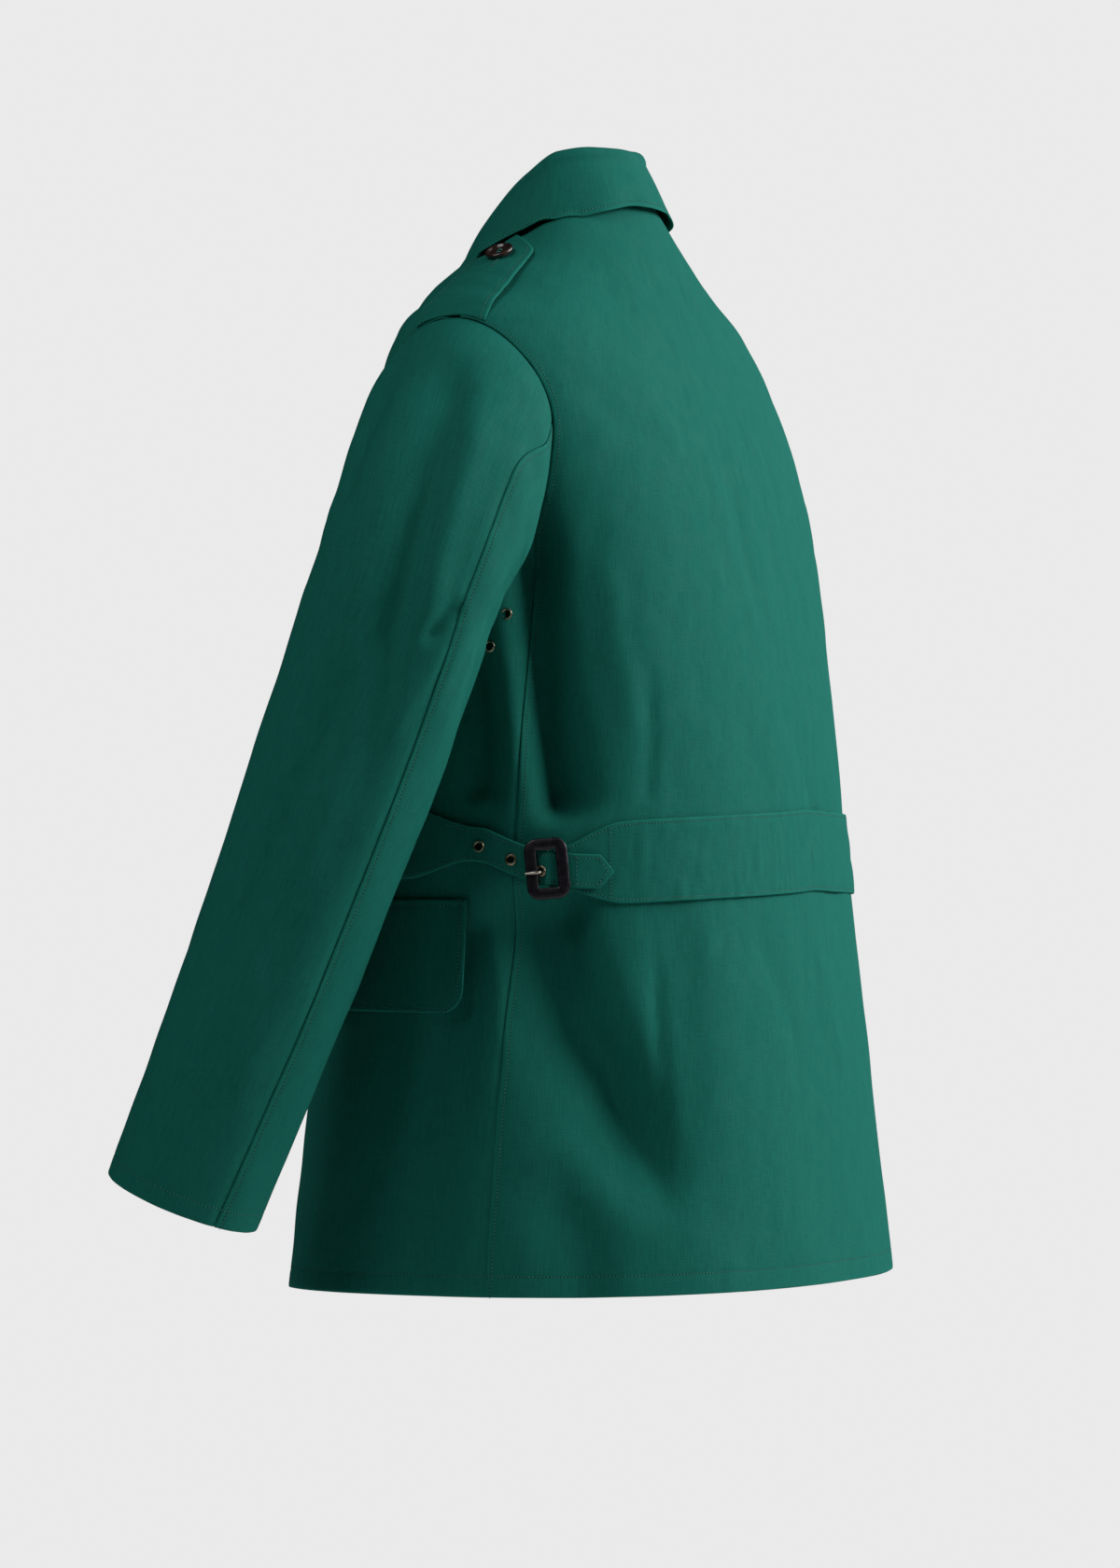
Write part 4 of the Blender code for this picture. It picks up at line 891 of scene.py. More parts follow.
def patch(bottom: Array, top: Array, start: Array, end: Array,
          u: Array, v: Array) -> Array:
    """Fills a four-sided outline in (angle, run) from its edges.

    Args:
        bottom: The lower edge, a point for each u.
        top: The upper edge, a point for each u.
        start: The first side, a point for each v.
        end: The last side, a point for each v.
        u: Shares across.
        v: Shares upward.

    Returns:
        The grid of points.
    """
    u, v = u[None, :, None], v[:, None, None]
    corners = ((1 - u) * (1 - v) * bottom[0] + u * (1 - v) * bottom[-1]
               + (1 - u) * v * top[0] + u * v * top[-1])
    return ((1 - v) * bottom[None] + v * top[None]
            + (1 - u) * start[:, None] + u * end[:, None] - corners)


# ---- finishes
class Nodes:
    """A short way to write a material's node tree."""

    def __init__(self, name: str) -> None:
        """Makes the material with its Principled shader.

        Args:
            name: The material's name.
        """
        self.material = bpy.data.materials.new(name)
        self.material.use_nodes = True
        self.tree = self.material.node_tree
        self.shader = self.tree.nodes["Principled BSDF"]

    def add(self, kind: str, inputs: dict[str | int, object] | None = None,
            **settings: object) -> bpy.types.Node:
        """Adds a node, sets its options and its inputs.

        Args:
            kind: The node's type, without ShaderNode.
            inputs: Values or output sockets by input name or number.
            **settings: The node's own options.

        Returns:
            The node.
        """
        node = self.tree.nodes.new(f"ShaderNode{kind}")
        for option, value in settings.items():
            setattr(node, option, value)
        for key, value in (inputs or {}).items():
            self.feed(node.inputs[key], value)
        return node

    def feed(self, socket: Socket, value: object) -> None:
        """Links a socket to an output socket, or gives it a value.

        Args:
            socket: The input socket.
            value: The output socket or the value.
        """
        if isinstance(value, Socket):
            self.tree.links.new(value, socket)
        else:
            socket.default_value = value

    def set(self, **values: object) -> None:
        """Sets the shader's inputs, with underscores for blanks, to values or output sockets."""
        for key, value in values.items():
            self.feed(self.shader.inputs[key.replace("_", " ")], value)

    def blend(self, share: Socket | float, low: object, high: object) -> Socket:
        """Mixes two colours.

        Args:
            share: The share of the second one.
            low: The first colour.
            high: The second colour.

        Returns:
            The mixed colour's socket.
        """
        node = self.tree.nodes.new("ShaderNodeMix")
        node.data_type = "RGBA"
        for number, value in ((0, share), (6, low), (7, high)):
            self.feed(node.inputs[number], value)
        return node.outputs[2]

    def range(self, value: Socket, low: float, high: float, new_low: float,
              new_high: float) -> Socket:
        """Returns a value carried from one range to another."""
        return self.add("MapRange", {"Value": value, "From Min": low, "From Max": high,
                                     "To Min": new_low, "To Max": new_high}).outputs[0]


@dataclass(frozen=True)
class BondedCotton:
    """Closely woven bonded cotton: matt, a little slubbed, paler where its edges wear."""

    name: str = "bonded_cotton_cloth"
    shade: tuple[float, float, float] = (0.0078, 0.158, 0.1225)
    thread_pitch: float = 0.0006
    roughness: float = 0.80

    def make(self) -> Material:
        """Returns the material."""
        n = Nodes(self.name)
        cloth = n.add("UVMap", uv_map="cloth").outputs[0]
        rate = 1.0 / self.thread_pitch

        def threads(across: float, along: float) -> Socket:
            """Makes slubbed threads that are fine one way and long the other.

            Args:
                across: Threads to the metre across.
                along: Changes to the metre along.

            Returns:
                The threads' socket.
            """
            place = n.add("Mapping", {"Vector": cloth, "Scale": (across, along, 1.0)}).outputs[0]
            return n.add("TexNoise", {"Vector": place, "Scale": 1.0, "Detail": 2.0,
                                      "Roughness": 0.6}).outputs[0]

        warp, weft = threads(rate, rate / 22), threads(rate / 18, rate)
        weave = n.add("Math", {0: warp, 1: weft}, operation="ADD").outputs[0]
        streaks = n.range(threads(1 / 0.0013, 1 / 0.020), 0.32, 0.68, 0, 1)
        place = n.add("TexCoord").outputs["Object"]
        wide = n.add("TexNoise", {"Vector": place, "Scale": 5.0, "Detail": 3.0}).outputs[0]
        fine = n.add("TexNoise", {"Vector": place, "Scale": 70.0, "Detail": 4.0,
                                  "Roughness": 0.65}).outputs[0]
        r, g, b = self.shade
        plain = n.blend(n.range(wide, 0.3, 0.7, 0, 1), (r * .88, g * .93, b * .93, 1),
                        (r * 1.14, g * 1.07, b * 1.07, 1))
        slub = n.blend(n.range(weave, 0.72, 1.28, 0, 1), (r * .60, g * .74, b * .76, 1),
                       (r * 1.55, g * 1.30, b * 1.28, 1))
        colour = n.blend(0.70, plain, slub)
        streak = n.blend(streaks, (r * .62, g * .80, b * .81, 1), (r * 1.45, g * 1.20, b * 1.19, 1))
        colour = n.blend(0.38, colour, streak)
        worn = n.add("Attribute", attribute_name="worn").outputs["Fac"]
        wear = n.add("Math", {0: worn, 1: n.range(fine, 0.35, 0.65, 0.2, 1.0)},
                     operation="MULTIPLY").outputs[0]
        colour = n.blend(n.range(wear, 0, 1, 0, 0.45), colour, (r * 2.2, g * 1.7, b * 1.65, 1))
        first = n.add("Bump", {"Height": weave, "Strength": 0.5, "Distance": 0.0003}).outputs[0]
        last = n.add("Bump", {"Height": fine, "Strength": 0.25, "Distance": 0.0012,
                              "Normal": first}).outputs[0]
        n.set(Base_Color=colour, Roughness=n.range(fine, 0.3, 0.7, self.roughness - 0.06,
                                                    self.roughness + 0.08), Normal=last)
        n.set(Specular_IOR_Level=0.10)
        return n.material


@dataclass(frozen=True)
class PlainFinish:
    """A finish with a mottled colour, uneven gloss and a grain."""

    name: str
    dark: tuple[float, float, float]
    light: tuple[float, float, float]
    roughness: Pair
    grain: float = 900.0
    grain_depth: float = 0.00008
    metallic: float = 0.0
    coat: float = 0.0
    pebbled: bool = False
    stretch: tuple[float, float, float] = (1.0, 1.0, 1.0)
    specular: float = 0.5

    def make(self) -> Material:
        """Returns the material."""
        n = Nodes(self.name)
        place = n.add("TexCoord").outputs["Object"]
        place = n.add("Mapping", {"Vector": place, "Scale": self.stretch}).outputs[0]
        mottle = n.add("TexNoise", {"Vector": place, "Scale": self.grain / 6, "Detail": 4.0,
                                    "Distortion": 0.6}).outputs[0]
        colour = n.blend(n.range(mottle, 0.35, 0.65, 0, 1), (*self.dark, 1), (*self.light, 1))
        if self.pebbled:
            rough = n.add("TexVoronoi", {"Vector": place, "Scale": self.grain},
                          feature="F1").outputs[0]
        else:
            rough = n.add("TexNoise", {"Vector": place, "Scale": self.grain,
                                       "Detail": 3.0}).outputs[0]
        bump = n.add("Bump", {"Height": rough, "Strength": 0.4,
                              "Distance": self.grain_depth}).outputs[0]
        n.set(Base_Color=colour, Normal=bump, Roughness=n.range(mottle, 0.3, 0.7,
                                                                 *self.roughness))
        n.set(Metallic=self.metallic, Coat_Weight=self.coat, Coat_Roughness=0.12)
        n.set(Specular_IOR_Level=self.specular)
        return n.material


HORN = PlainFinish("polished_horn", (0.010, 0.006, 0.006), (0.055, 0.030, 0.024), (0.16, 0.30),
                   400.0, 0.00004, coat=0.5, stretch=(1.0, 2.2, 1.0))
LEATHER = PlainFinish("stitched_leather", (0.0035, 0.0025, 0.0055), (0.0090, 0.0060, 0.0125),
                      (0.30, 0.46), 1500.0, 0.00010, coat=0.15, pebbled=True)
BRASS = PlainFinish("aged_brass_rings", (0.26, 0.20, 0.13), (0.50, 0.42, 0.30), (0.24, 0.42),
                    900.0, 0.00003, metallic=1.0)
METAL = PlainFinish("pale_prong_metal", (0.48, 0.43, 0.38), (0.66, 0.60, 0.54), (0.20, 0.34),
                    900.0, 0.00003, metallic=1.0)
GREEN_THREAD = PlainFinish("green_thread", (0.050, 0.250, 0.205), (0.080, 0.320, 0.275),
                           (0.55, 0.70), 3000.0, 0.00004)
BLACK_THREAD = PlainFinish("black_thread", (0.020, 0.014, 0.022), (0.045, 0.032, 0.045),
                           (0.45, 0.60), 3000.0, 0.00004)
# Near-black green for the insides of button holes, eyelets and needle holes: painted shade where
# these show only shadow
SHADOW = PlainFinish("hole_lining", (0.001, 0.012, 0.010), (0.002, 0.020, 0.016), (0.85, 0.95),
                     specular=0.03)


@dataclass
class Finishes:
    """Every material of the coat, made once."""

    cotton: Material = field(default_factory=BondedCotton().make)
    horn: Material = field(default_factory=HORN.make)
    leather: Material = field(default_factory=LEATHER.make)
    brass: Material = field(default_factory=BRASS.make)
    metal: Material = field(default_factory=METAL.make)
    thread: Material = field(default_factory=GREEN_THREAD.make)
    dark_thread: Material = field(default_factory=BLACK_THREAD.make)
    # painted shade for the insides of holes
    hole: Material = field(default_factory=SHADOW.make)


# ---- making pieces
def new_piece(name: str, mesh: Mesh, finish: Material,
              nodes: Sequence[str] = ()) -> Object:
    """Links a mesh as a piece of the coat.

    Args:
        name: The piece's name.
        mesh: Its mesh, in the coat's own coordinates.
        finish: Its material.
        nodes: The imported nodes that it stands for.

    Returns:
        The piece.
    """
    if not mesh.materials:
        mesh.materials.append(finish)
    piece = bpy.data.objects.new(name, mesh)
    bpy.context.scene.collection.objects.link(piece)
    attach(piece, "root")
    if nodes:
        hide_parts(*nodes)
    return piece


def shell_mesh(name: str, grids: Sequence[Grid], thickness: float,
               weld: Array | None = None) -> Mesh:
    """Makes a closed wall with rounded edges from grids of outer points.

    Args:
        name: The mesh's name.
        grids: One grid, or two of which the second stands on the first's last row.
        thickness: The cloth's thickness.
        weld: Numbers of the first grid's points that are the second grid's first row.

    Returns:
        The mesh, with its cloth coordinates and its wear.
    """
    outer, inner, flat, worn, index = [], [], [], [], []
    first_count = grids[0].points.shape[0] * grids[0].points.shape[1]
    for number, grid in enumerate(grids):
        skip = 1 if number else 0
        near = grid.from_edge[..., None]
        sink = 0.38 * thickness * np.exp(-near / 0.0005)
        up = grid.points - grid.normals * sink
        down = grid.points - grid.normals * (thickness - sink)
        outer.append(up[skip:].reshape(-1, 3))
        inner.append(down[skip:].reshape(-1, 3))
        flat.append(grid.flat[skip:].reshape(-1, 2))
        worn.append(np.exp(-grid.from_edge / 0.0016)[skip:].reshape(-1))
        numbers = np.arange(outer[-1].shape[0]).reshape(-1, grid.points.shape[1])
        if number:
            numbers = np.concatenate([weld[None], numbers + first_count])
        index.append(numbers)
    points = np.concatenate(outer + inner)
    count = len(points) // 2
    quads = np.concatenate([
        np.stack([i[:-1, :-1], i[:-1, 1:], i[1:, 1:], i[1:, :-1]], axis=-1).reshape(-1, 4)
        for i in index])
    if grids[0].outward < 0:
        quads = quads[:, ::-1]
    sides = np.concatenate([quads[:, [a, b]] for a, b in ((0, 1), (1, 2), (2, 3), (3, 0))])
    keys = sides[:, 0] * count + sides[:, 1]
    rim = sides[~np.isin(sides[:, 1] * count + sides[:, 0], keys)]
    rim_quads = np.stack([rim[:, 1], rim[:, 0], rim[:, 0] + count, rim[:, 1] + count], axis=-1)
    faces = np.concatenate([quads, quads[:, ::-1] + count, rim_quads])
    mesh = bpy.data.meshes.new(name)
    mesh.from_pydata(points.tolist(), [], faces.tolist())
    mesh.shade_smooth()
    layer = mesh.uv_layers.new(name="cloth")
    corners = np.empty(len(mesh.loops), dtype=np.int32)
    mesh.loops.foreach_get("vertex_index", corners)
    both = np.concatenate(flat + flat)
    layer.data.foreach_set("uv", both[corners].astype(np.float32).ravel())
    attribute = mesh.attributes.new("worn", "FLOAT", "POINT")
    attribute.data.foreach_set("value", np.concatenate(worn + worn).astype(np.float32))
    return mesh


def cloth_piece(name: str, grids: Sequence[Grid], thickness: float,
                finish: Material, node: str,
                weld: Array | None = None) -> Object:
    """Args:
        name: The piece's name.
        grids: Its outer face.
        thickness: The cloth's thickness.
        finish: Its material.
        node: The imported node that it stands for.
        weld: See shell_mesh.

    Returns:
        The piece.
    """
    mesh = shell_mesh(name, grids, thickness, weld)
    piece = new_piece(name, mesh, finish, [node])
    area = sum(grid.area for grid in grids)
    wide = max(float(g.away[Edge.START][:, -1].max()) for g in grids)
    tall = sum(float(g.away[Edge.BOTTOM][-1].max()) for g in grids)
    area = min(max(area, 0.301 * wide * tall), wide * tall)
    LOG.info("%s: cut %.0f x %.0f mm", name, wide * 1000, tall * 1000)
    return piece


def lathe_mesh(name: str, profile: Sequence[Pair], steps: int, at: Array,
               axes: Array) -> Mesh:
    """Turns a closed profile round an axis.

    Args:
        name: The mesh's name.
        profile: (radius, height) points; a radius of zero lies on the axis.
        steps: Steps round.
        at: Where the profile's origin goes.
        axes: Matrix whose columns are the local axes; the last is the turning axis.

    Returns:
        The mesh, in the coat's own coordinates.
    """
    shape = bmesh.new()
    rings = []
    for radius, height in profile:
        if radius == 0:
            rings.append([shape.verts.new((0, 0, height))] * steps)
        else:
            rings.append([shape.verts.new((radius * math.cos(FULL_TURN * i / steps),
                                           radius * math.sin(FULL_TURN * i / steps), height))
                          for i in range(steps)])
    closed = all(radius > 0 for radius, _ in profile)
    pairs = list(zip(rings, rings[1:])) + ([(rings[-1], rings[0])] if closed else [])
    for low, high in pairs:
        for i in range(steps):
            ring = [low[i], low[(i + 1) % steps], high[(i + 1) % steps], high[i]]
            ring = [v for k, v in enumerate(ring) if v not in ring[:k]]
            if len(ring) > 2:
                shape.faces.new(ring)
    bmesh.ops.recalc_face_normals(shape, faces=shape.faces)
    turn = np.eye(4)
    turn[:3, :3], turn[:3, 3] = axes, at
    if np.linalg.det(turn[:3, :3]) < 0:
        bmesh.ops.reverse_faces(shape, faces=shape.faces)
    bmesh.ops.transform(shape, matrix=Matrix(turn.tolist()), verts=shape.verts)
    mesh = bpy.data.meshes.new(name)
    shape.to_mesh(mesh)
    shape.free()
    mesh.shade_smooth()
    return mesh


def joined(name: str, parts: Sequence[tuple[Mesh, Material]]) -> Mesh:
    """Makes one mesh of several, each of which keeps its material.

    Args:
        name: The mesh's name.
        parts: Meshes and their materials.

    Returns:
        The mesh.
    """
    shape = bmesh.new()
    made = bpy.data.meshes.new(name)
    for number, (mesh, finish) in enumerate(parts):
        made.materials.append(finish)
        before = len(shape.faces)
        shape.from_mesh(mesh)
        shape.faces.ensure_lookup_table()
        for face in shape.faces[before:]:
            face.material_index = number
        bpy.data.meshes.remove(mesh)
    shape.to_mesh(made)
    shape.free()
    made.shade_smooth()
    return made


def closed_mesh(name: str, points: Array, faces: list[list[int]]) -> Mesh:
    """Makes a smooth closed mesh whose faces point outwards.

    Args:
        name: The mesh's name.
        points: Its points, in any number of rows.
        faces: Numbers of the points round each face.

    Returns:
        The mesh.
    """
    mesh = bpy.data.meshes.new(name)
    mesh.from_pydata(points.reshape(-1, 3).tolist(), [], faces)
    shape = bmesh.new()
    shape.from_mesh(mesh)
    bmesh.ops.recalc_face_normals(shape, faces=shape.faces)
    shape.to_mesh(mesh)
    shape.free()
    mesh.shade_smooth()
    return mesh


def tube_mesh(name: str, route: Array, radii: Array | float, sides: int) -> Mesh:
    """Makes a closed tube with round ends along a route.

    Args:
        name: The mesh's name.
        route: Points along the middle.
        radii: One radius, or one for each point.
        sides: Sides of the tube.

    Returns:
        The mesh.
    """
    route = np.asarray(route, float)
    radius = np.broadcast_to(radii, len(route)).astype(float)
    way = unit(np.gradient(route, axis=0))
    helper = np.array([0.31, 0.17, 0.93])
    one = unit(np.cross(way, helper))
    two = np.cross(way, one)
    turn = np.linspace(0, FULL_TURN, sides, endpoint=False)
    ring = (np.cos(turn)[None, :, None] * one[:, None] + np.sin(turn)[None, :, None]
            * two[:, None])
    points = route[:, None] + ring * radius[:, None, None]
    caps = [(route[0] - way[0] * radius[0] * .45, ring[0] * radius[0] * .72, 0),
            (route[-1] + way[-1] * radius[-1] * .45, ring[-1] * radius[-1] * .72, len(route))]
    points = np.concatenate([(caps[0][0] + caps[0][1])[None], points,
                             (caps[1][0] + caps[1][1])[None]])
    rows = len(points)
    index = np.arange(rows * sides).reshape(rows, sides)
    nxt = np.roll(index, -1, axis=1)
    quads = np.stack([index[:-1], nxt[:-1], nxt[1:], index[1:]], axis=-1).reshape(-1, 4)
    faces = [list(map(int, q)) for q in quads]
    faces += [[int(i) for i in index[0][::-1]], [int(i) for i in index[-1]]]
    return closed_mesh(name, points, faces)


# ---- stitches
@dataclass
class Stitching:
    """Rows of stitches that a node tree lays along lines."""

    name: str
    pitch: float
    length: float
    thickness: float
    finish: Material
    slot: str = "bonded_cotton"
    rows: list[Array] = field(default_factory=list)

    @property
    def sizes(self) -> dict[str, float]:
        """The node tree's inputs."""
        return {"Pitch": self.pitch, "Length": self.length, "Thickness": self.thickness}

    def along(self, line: Array) -> None:
        """Adds a row of stitches along a line of points."""
        self.rows.append(np.asarray(line, float))

    def edge_row(self, grid: Grid, edge: Edge, inset: float,
                 trim: Pair = (0.0, 1.0)) -> None:
        """Presses the cloth along an edge and sews a row of stitches there.

        Args:
            grid: The cloth.
            edge: The edge that the row follows.
            inset: Its distance from the edge.
            trim: Shares of the edge between which it is sewn.
        """
        grid.press(edge, inset)
        self.along(grid.line(edge, inset, trim=trim))

    def holes(self, finish: Material) -> Stitching:
        """Makes dark specks between the stitches of every long row: painted shade in the needle
        holes.

        Args:
            finish: The material of the painted shade.

        Returns:
            The rows of dark specks of painted shade.
        """
        made = Stitching("needle_holes", self.pitch, self.pitch - self.length + 0.0001,
                         self.thickness * 1.05, finish, self.slot)
        for row in self.rows:
            steps = np.linalg.norm(np.diff(row, axis=0), axis=1)
            way = np.concatenate([[0.0], np.cumsum(steps)])
            if way[-1] < 4 * self.pitch:
                continue
            at = np.linspace(self.pitch / 2, way[-1] - self.pitch / 2, len(row))
            made.along(np.stack([np.interp(at, way, row[:, k]) for k in range(3)], axis=-1))
        return made

    def tree(self) -> bpy.types.NodeTree:
        """Returns the node tree: a line becomes a curve, with a stitch at each pitch."""
        tree = bpy.data.node_groups.new(f"{self.name}_rows", "GeometryNodeTree")
        made = tree.interface.new_socket
        made(name="Geometry", in_out="INPUT", socket_type="NodeSocketGeometry")
        for name, value in self.sizes.items():
            socket = made(name=name, in_out="INPUT", socket_type="NodeSocketFloat")
            socket.default_value = value
        made(name="Geometry", in_out="OUTPUT", socket_type="NodeSocketGeometry")
        kinds = {"given": "NodeGroupInput", "result": "NodeGroupOutput",
                 "curve": "GeometryNodeMeshToCurve", "spaced": "GeometryNodeResampleCurve",
                 "tangent": "GeometryNodeInputTangent", "aligned": "FunctionNodeAlignEulerToVector",
                 "ball": "GeometryNodeMeshIcoSphere", "size": "ShaderNodeCombineXYZ",
                 "shaped": "GeometryNodeTransform", "placed": "GeometryNodeInstanceOnPoints",
                 "real": "GeometryNodeRealizeInstances", "smooth": "GeometryNodeSetShadeSmooth",
                 "dressed": "GeometryNodeSetMaterial"}
        nodes = {word: tree.nodes.new(kind) for word, kind in kinds.items()}
        nodes["spaced"].mode = "LENGTH"
        nodes["aligned"].axis = "X"
        nodes["ball"].inputs["Radius"].default_value = 0.5
        nodes["ball"].inputs["Subdivisions"].default_value = 1
        nodes["dressed"].inputs["Material"].default_value = self.finish
        for start, output, end, into in (
                ("given", "Geometry", "curve", "Mesh"), ("curve", "Curve", "spaced", "Curve"),
                ("given", "Pitch", "spaced", "Length"), ("given", "Length", "size", "X"),
                ("given", "Thickness", "size", "Y"), ("given", "Thickness", "size", "Z"),
                ("ball", "Mesh", "shaped", "Geometry"), ("size", "Vector", "shaped", "Scale"),
                ("tangent", "Tangent", "aligned", "Vector"),
                ("spaced", "Curve", "placed", "Points"),
                ("shaped", "Geometry", "placed", "Instance"),
                ("aligned", "Rotation", "placed", "Rotation"),
                ("placed", "Instances", "real", "Geometry"),
                ("real", "Geometry", "smooth", "Geometry"),
                ("smooth", "Geometry", "dressed", "Geometry"),
                ("dressed", "Geometry", "result", "Geometry")):
            tree.links.new(nodes[start].outputs[output], nodes[end].inputs[into])
        return tree

    def sew(self) -> Object:
        """Lays the stitches and returns them as one piece."""
        points, edges = [], []
        for row in self.rows:
            first = len(points)
            points += row.tolist()
            edges += [(i, i + 1) for i in range(first, len(points) - 1)]
        mesh = bpy.data.meshes.new(f"{self.name}_lines")
        mesh.from_pydata(points, edges, [])
        lines = bpy.data.objects.new(f"{self.name}_lines", mesh)
        bpy.context.scene.collection.objects.link(lines)
        rows = lines.modifiers.new("Rows", "NODES")
        rows.node_group = self.tree()
        for item in rows.node_group.interface.items_tree:
            if item.in_out == "INPUT" and item.name in self.sizes:
                rows[item.identifier] = self.sizes[item.name]
        ready = lines.evaluated_get(bpy.context.evaluated_depsgraph_get())
        sewn = bpy.data.meshes.new_from_object(ready)
        sewn.name = self.name
        bpy.data.objects.remove(lines, do_unlink=True)
        bpy.data.meshes.remove(mesh)
        LOG.info("%s: %d rows, %d faces", self.name, len(self.rows), len(sewn.polygons))
        return new_piece(self.name, sewn, self.finish)


# ---- body panels
@dataclass
class BodyPanels:
    """The one-piece back and the two lapped fronts."""

    finishes: Finishes
    seams: Stitching
    step: float = 0.0045
    hem_inset: float = 0.0140
    seam_inset: float = 0.0042
    edge_inset: float = 0.0065
    join_turn: float = 126.0
    front_turn: float = 236.0
    overlap: float = 0.085
    front_top_run: float = 0.728
    chest_run: float = 0.500
    gap: float = 0.00015

    def hole(self, turns: Array) -> Array:
        """Returns (angle, run) along the body's side of the armhole."""
        return np.stack(BODY.beside(*BODY.armhole(turns, self.gap)), axis=-1)

    def grid(self, places: Array, lift: Array | float,
             sewn: tuple[Edge, ...], outward: float) -> Grid:
        """Lays cloth on the body.

        Args:
            places: A grid of (angle, run).
            lift: How far the cloth is lifted off the folded body.
            sewn: The edges that are real edges of the piece.
            outward: Which way the grid faces, as in Grid.

        Returns:
            The cloth.
        """
        angle, run = places[..., 0], places[..., 1]
        flat = np.stack([angle * 0.215, run], axis=-1)
        return Grid(BODY.surface(angle, run, lift), flat, sewn, outward)

    def lap_lift(self, angle: Array, run: Array) -> Array:
        """Says how far the left front is lifted off the right one.

        Args:
            angle: Angles in radians.
            run: Runs.

        Returns:
            The lift at each place.
        """
        point = BODY.point(angle, run)
        x, y = point[..., 0], point[..., 1]
        near = 1 + 1.48 * ease((run - 0.66) / 0.06) * ease((0.092 - x) / 0.016)
        lift = (CLOTH + 1.8 * LAYER_GAP) * near * ease((self.overlap + 0.040 - x) / 0.030)
        return lift * ease(-1 - y / 0.030)

    def back(self) -> None:
        """Makes the back."""
        hole = self.hole(np.linspace(self.join_turn, 0, 60))
        seam = BODY.side_seam(np.linspace(0, hole[0, 1], 60), self.gap)
        hole[0] = seam[-1]
        shoulder = BODY.shoulder(hole[-1, 1], -0.0016, 20)
        left = np.concatenate([seam, hole[1:-1], shoulder])
        u = spread(0.66, self.step, lines=(self.seam_inset,), end_lines=(self.seam_inset,))
        v = spread(0.90, self.step, lines=(self.hem_inset,))
        side = resampled(left, v)
        right = side * [-1, 1] + [math.pi, 0]
        places = mix(side[:, None], right[:, None], u[None, :, None])
        grid = self.grid(places, 0.0, tuple(Edge), 1.0)
        for edge in (Edge.START, Edge.END):
            self.seams.edge_row(grid, edge, self.seam_inset, (0.0, 0.985))
        self.seams.edge_row(grid, Edge.BOTTOM, self.hem_inset)
        cloth_piece("back_panel", [grid], CLOTH, self.finishes.cotton, "back")

    def front(self, side: Side) -> None:
        """Makes one front: a grid below the armhole's bottom and one in front of the armhole.

        Args:
            side: The side of the wearer.
        """
        under = self.hole(np.linspace(self.join_turn, self.front_turn, 40))
        rising = self.hole(np.linspace(self.front_turn, 360.0, 60))
        seam = BODY.side_seam(np.linspace(0, under[0, 1], 60), -self.gap)
        under[0] = seam[-1]
        shoulder = BODY.shoulder(rising[-1, 1], -self.gap, 16)
        rising[-1] = shoulder[0]
        angles = np.linspace(shoulder[-1, 0], math.radians(-82.0), 30)
        neck = np.stack([angles, np.full(30, BODY.neck_run - 0.0003)], axis=-1)

        def front_edge(first: float, last: float) -> Array:
            """Returns (angle, run) up the front edge between two runs."""
            runs = np.linspace(first, last, 40)
            return np.stack([-math.pi - BODY.angle_at_x(self.overlap, runs), runs], axis=-1)

        low_edge = front_edge(0.0, self.chest_run)
        high_edge = front_edge(self.chest_run, self.front_top_run)
        corner = mix(neck[-1], high_edge[-1], np.linspace(0, 1, 20)[:, None])
        top = np.concatenate([shoulder, neck[1:], corner[1:]])
        share = 0.24
        u_under = spread(0.13, self.step)
        u_chest = spread(0.37, self.step, near=(), end_lines=(self.edge_inset,))
        u_chest = np.unique(np.concatenate([u_chest, [1 - .0005 / .37, 1 - .0016 / .37]]))
        chest = mix(rising[0], low_edge[-1], u_chest[:, None])
        u_low = np.concatenate([u_under[:-1] * share, share + (1 - share) * u_chest])
        line = np.concatenate([resampled(under, u_under)[:-1], chest])
        v_low = spread(0.49, self.step, lines=(self.hem_inset,))
        hem = np.stack([mix(seam[0, 0], low_edge[0, 0], u_low), np.zeros(len(u_low))], axis=-1)
        low = patch(hem, line, resampled(seam, v_low), resampled(low_edge, v_low), u_low, v_low)
        v_high = spread(0.25, self.step, near=(0.0016,))
        high = patch(chest, resampled(top, u_chest), resampled(rising, v_high),
                     resampled(high_edge, v_high), u_chest, v_high)
        grids = []
        outward = -1.0 if side is Side.LEFT else 1.0
        for places, sewn in ((low, (Edge.END, Edge.BOTTOM)),
                             (high, (Edge.START, Edge.END, Edge.TOP))):
            angle, run = places[..., 0], places[..., 1]
            if side is Side.LEFT:
                lift = self.lap_lift(angle, run)
            else:
                places = np.stack([math.pi - angle, run], axis=-1)
                x = BODY.point(places[..., 0], run)[..., 0]
                lift = -2 * LAYER_GAP * ease((x - 0.050) / 0.030)
            from_seam = np.where(run > 0.66, on_side(places[..., 0], side) * 0.15, 1.0)
            near_seam = ease((0.012 - np.abs(from_seam)) / 0.006)
            grids.append(self.grid(places, lift - 0.0019 * near_seam, sewn, outward))
        points = lowered(grids[0].points, Edge.START, outward, 0.0011, 0.0060)
        points, flat = tucked(points, grids[0].flat, Edge.START, outward, sink=0.0016)
        grids[0] = Grid(points, flat, grids[0].sewn, outward)
        lower, upper = grids
        lower.press(Edge.BOTTOM, self.hem_inset)
        for grid in grids:
            grid.press(Edge.END, self.edge_inset)
        upper.press(Edge.START, self.seam_inset)
        shared = lower.points.shape[1] - upper.points.shape[1]
        upper.points[0] = lower.points[-1, shared:]
        upper.normals[0] = lower.normals[-1, shared:] = unit(
            upper.normals[0] + lower.normals[-1, shared:])
        self.seams.along(lower.line(Edge.BOTTOM, self.hem_inset))
        self.seams.along(np.concatenate([lower.line(Edge.END, self.edge_inset),
                                         upper.line(Edge.END, self.edge_inset)[1:]]))
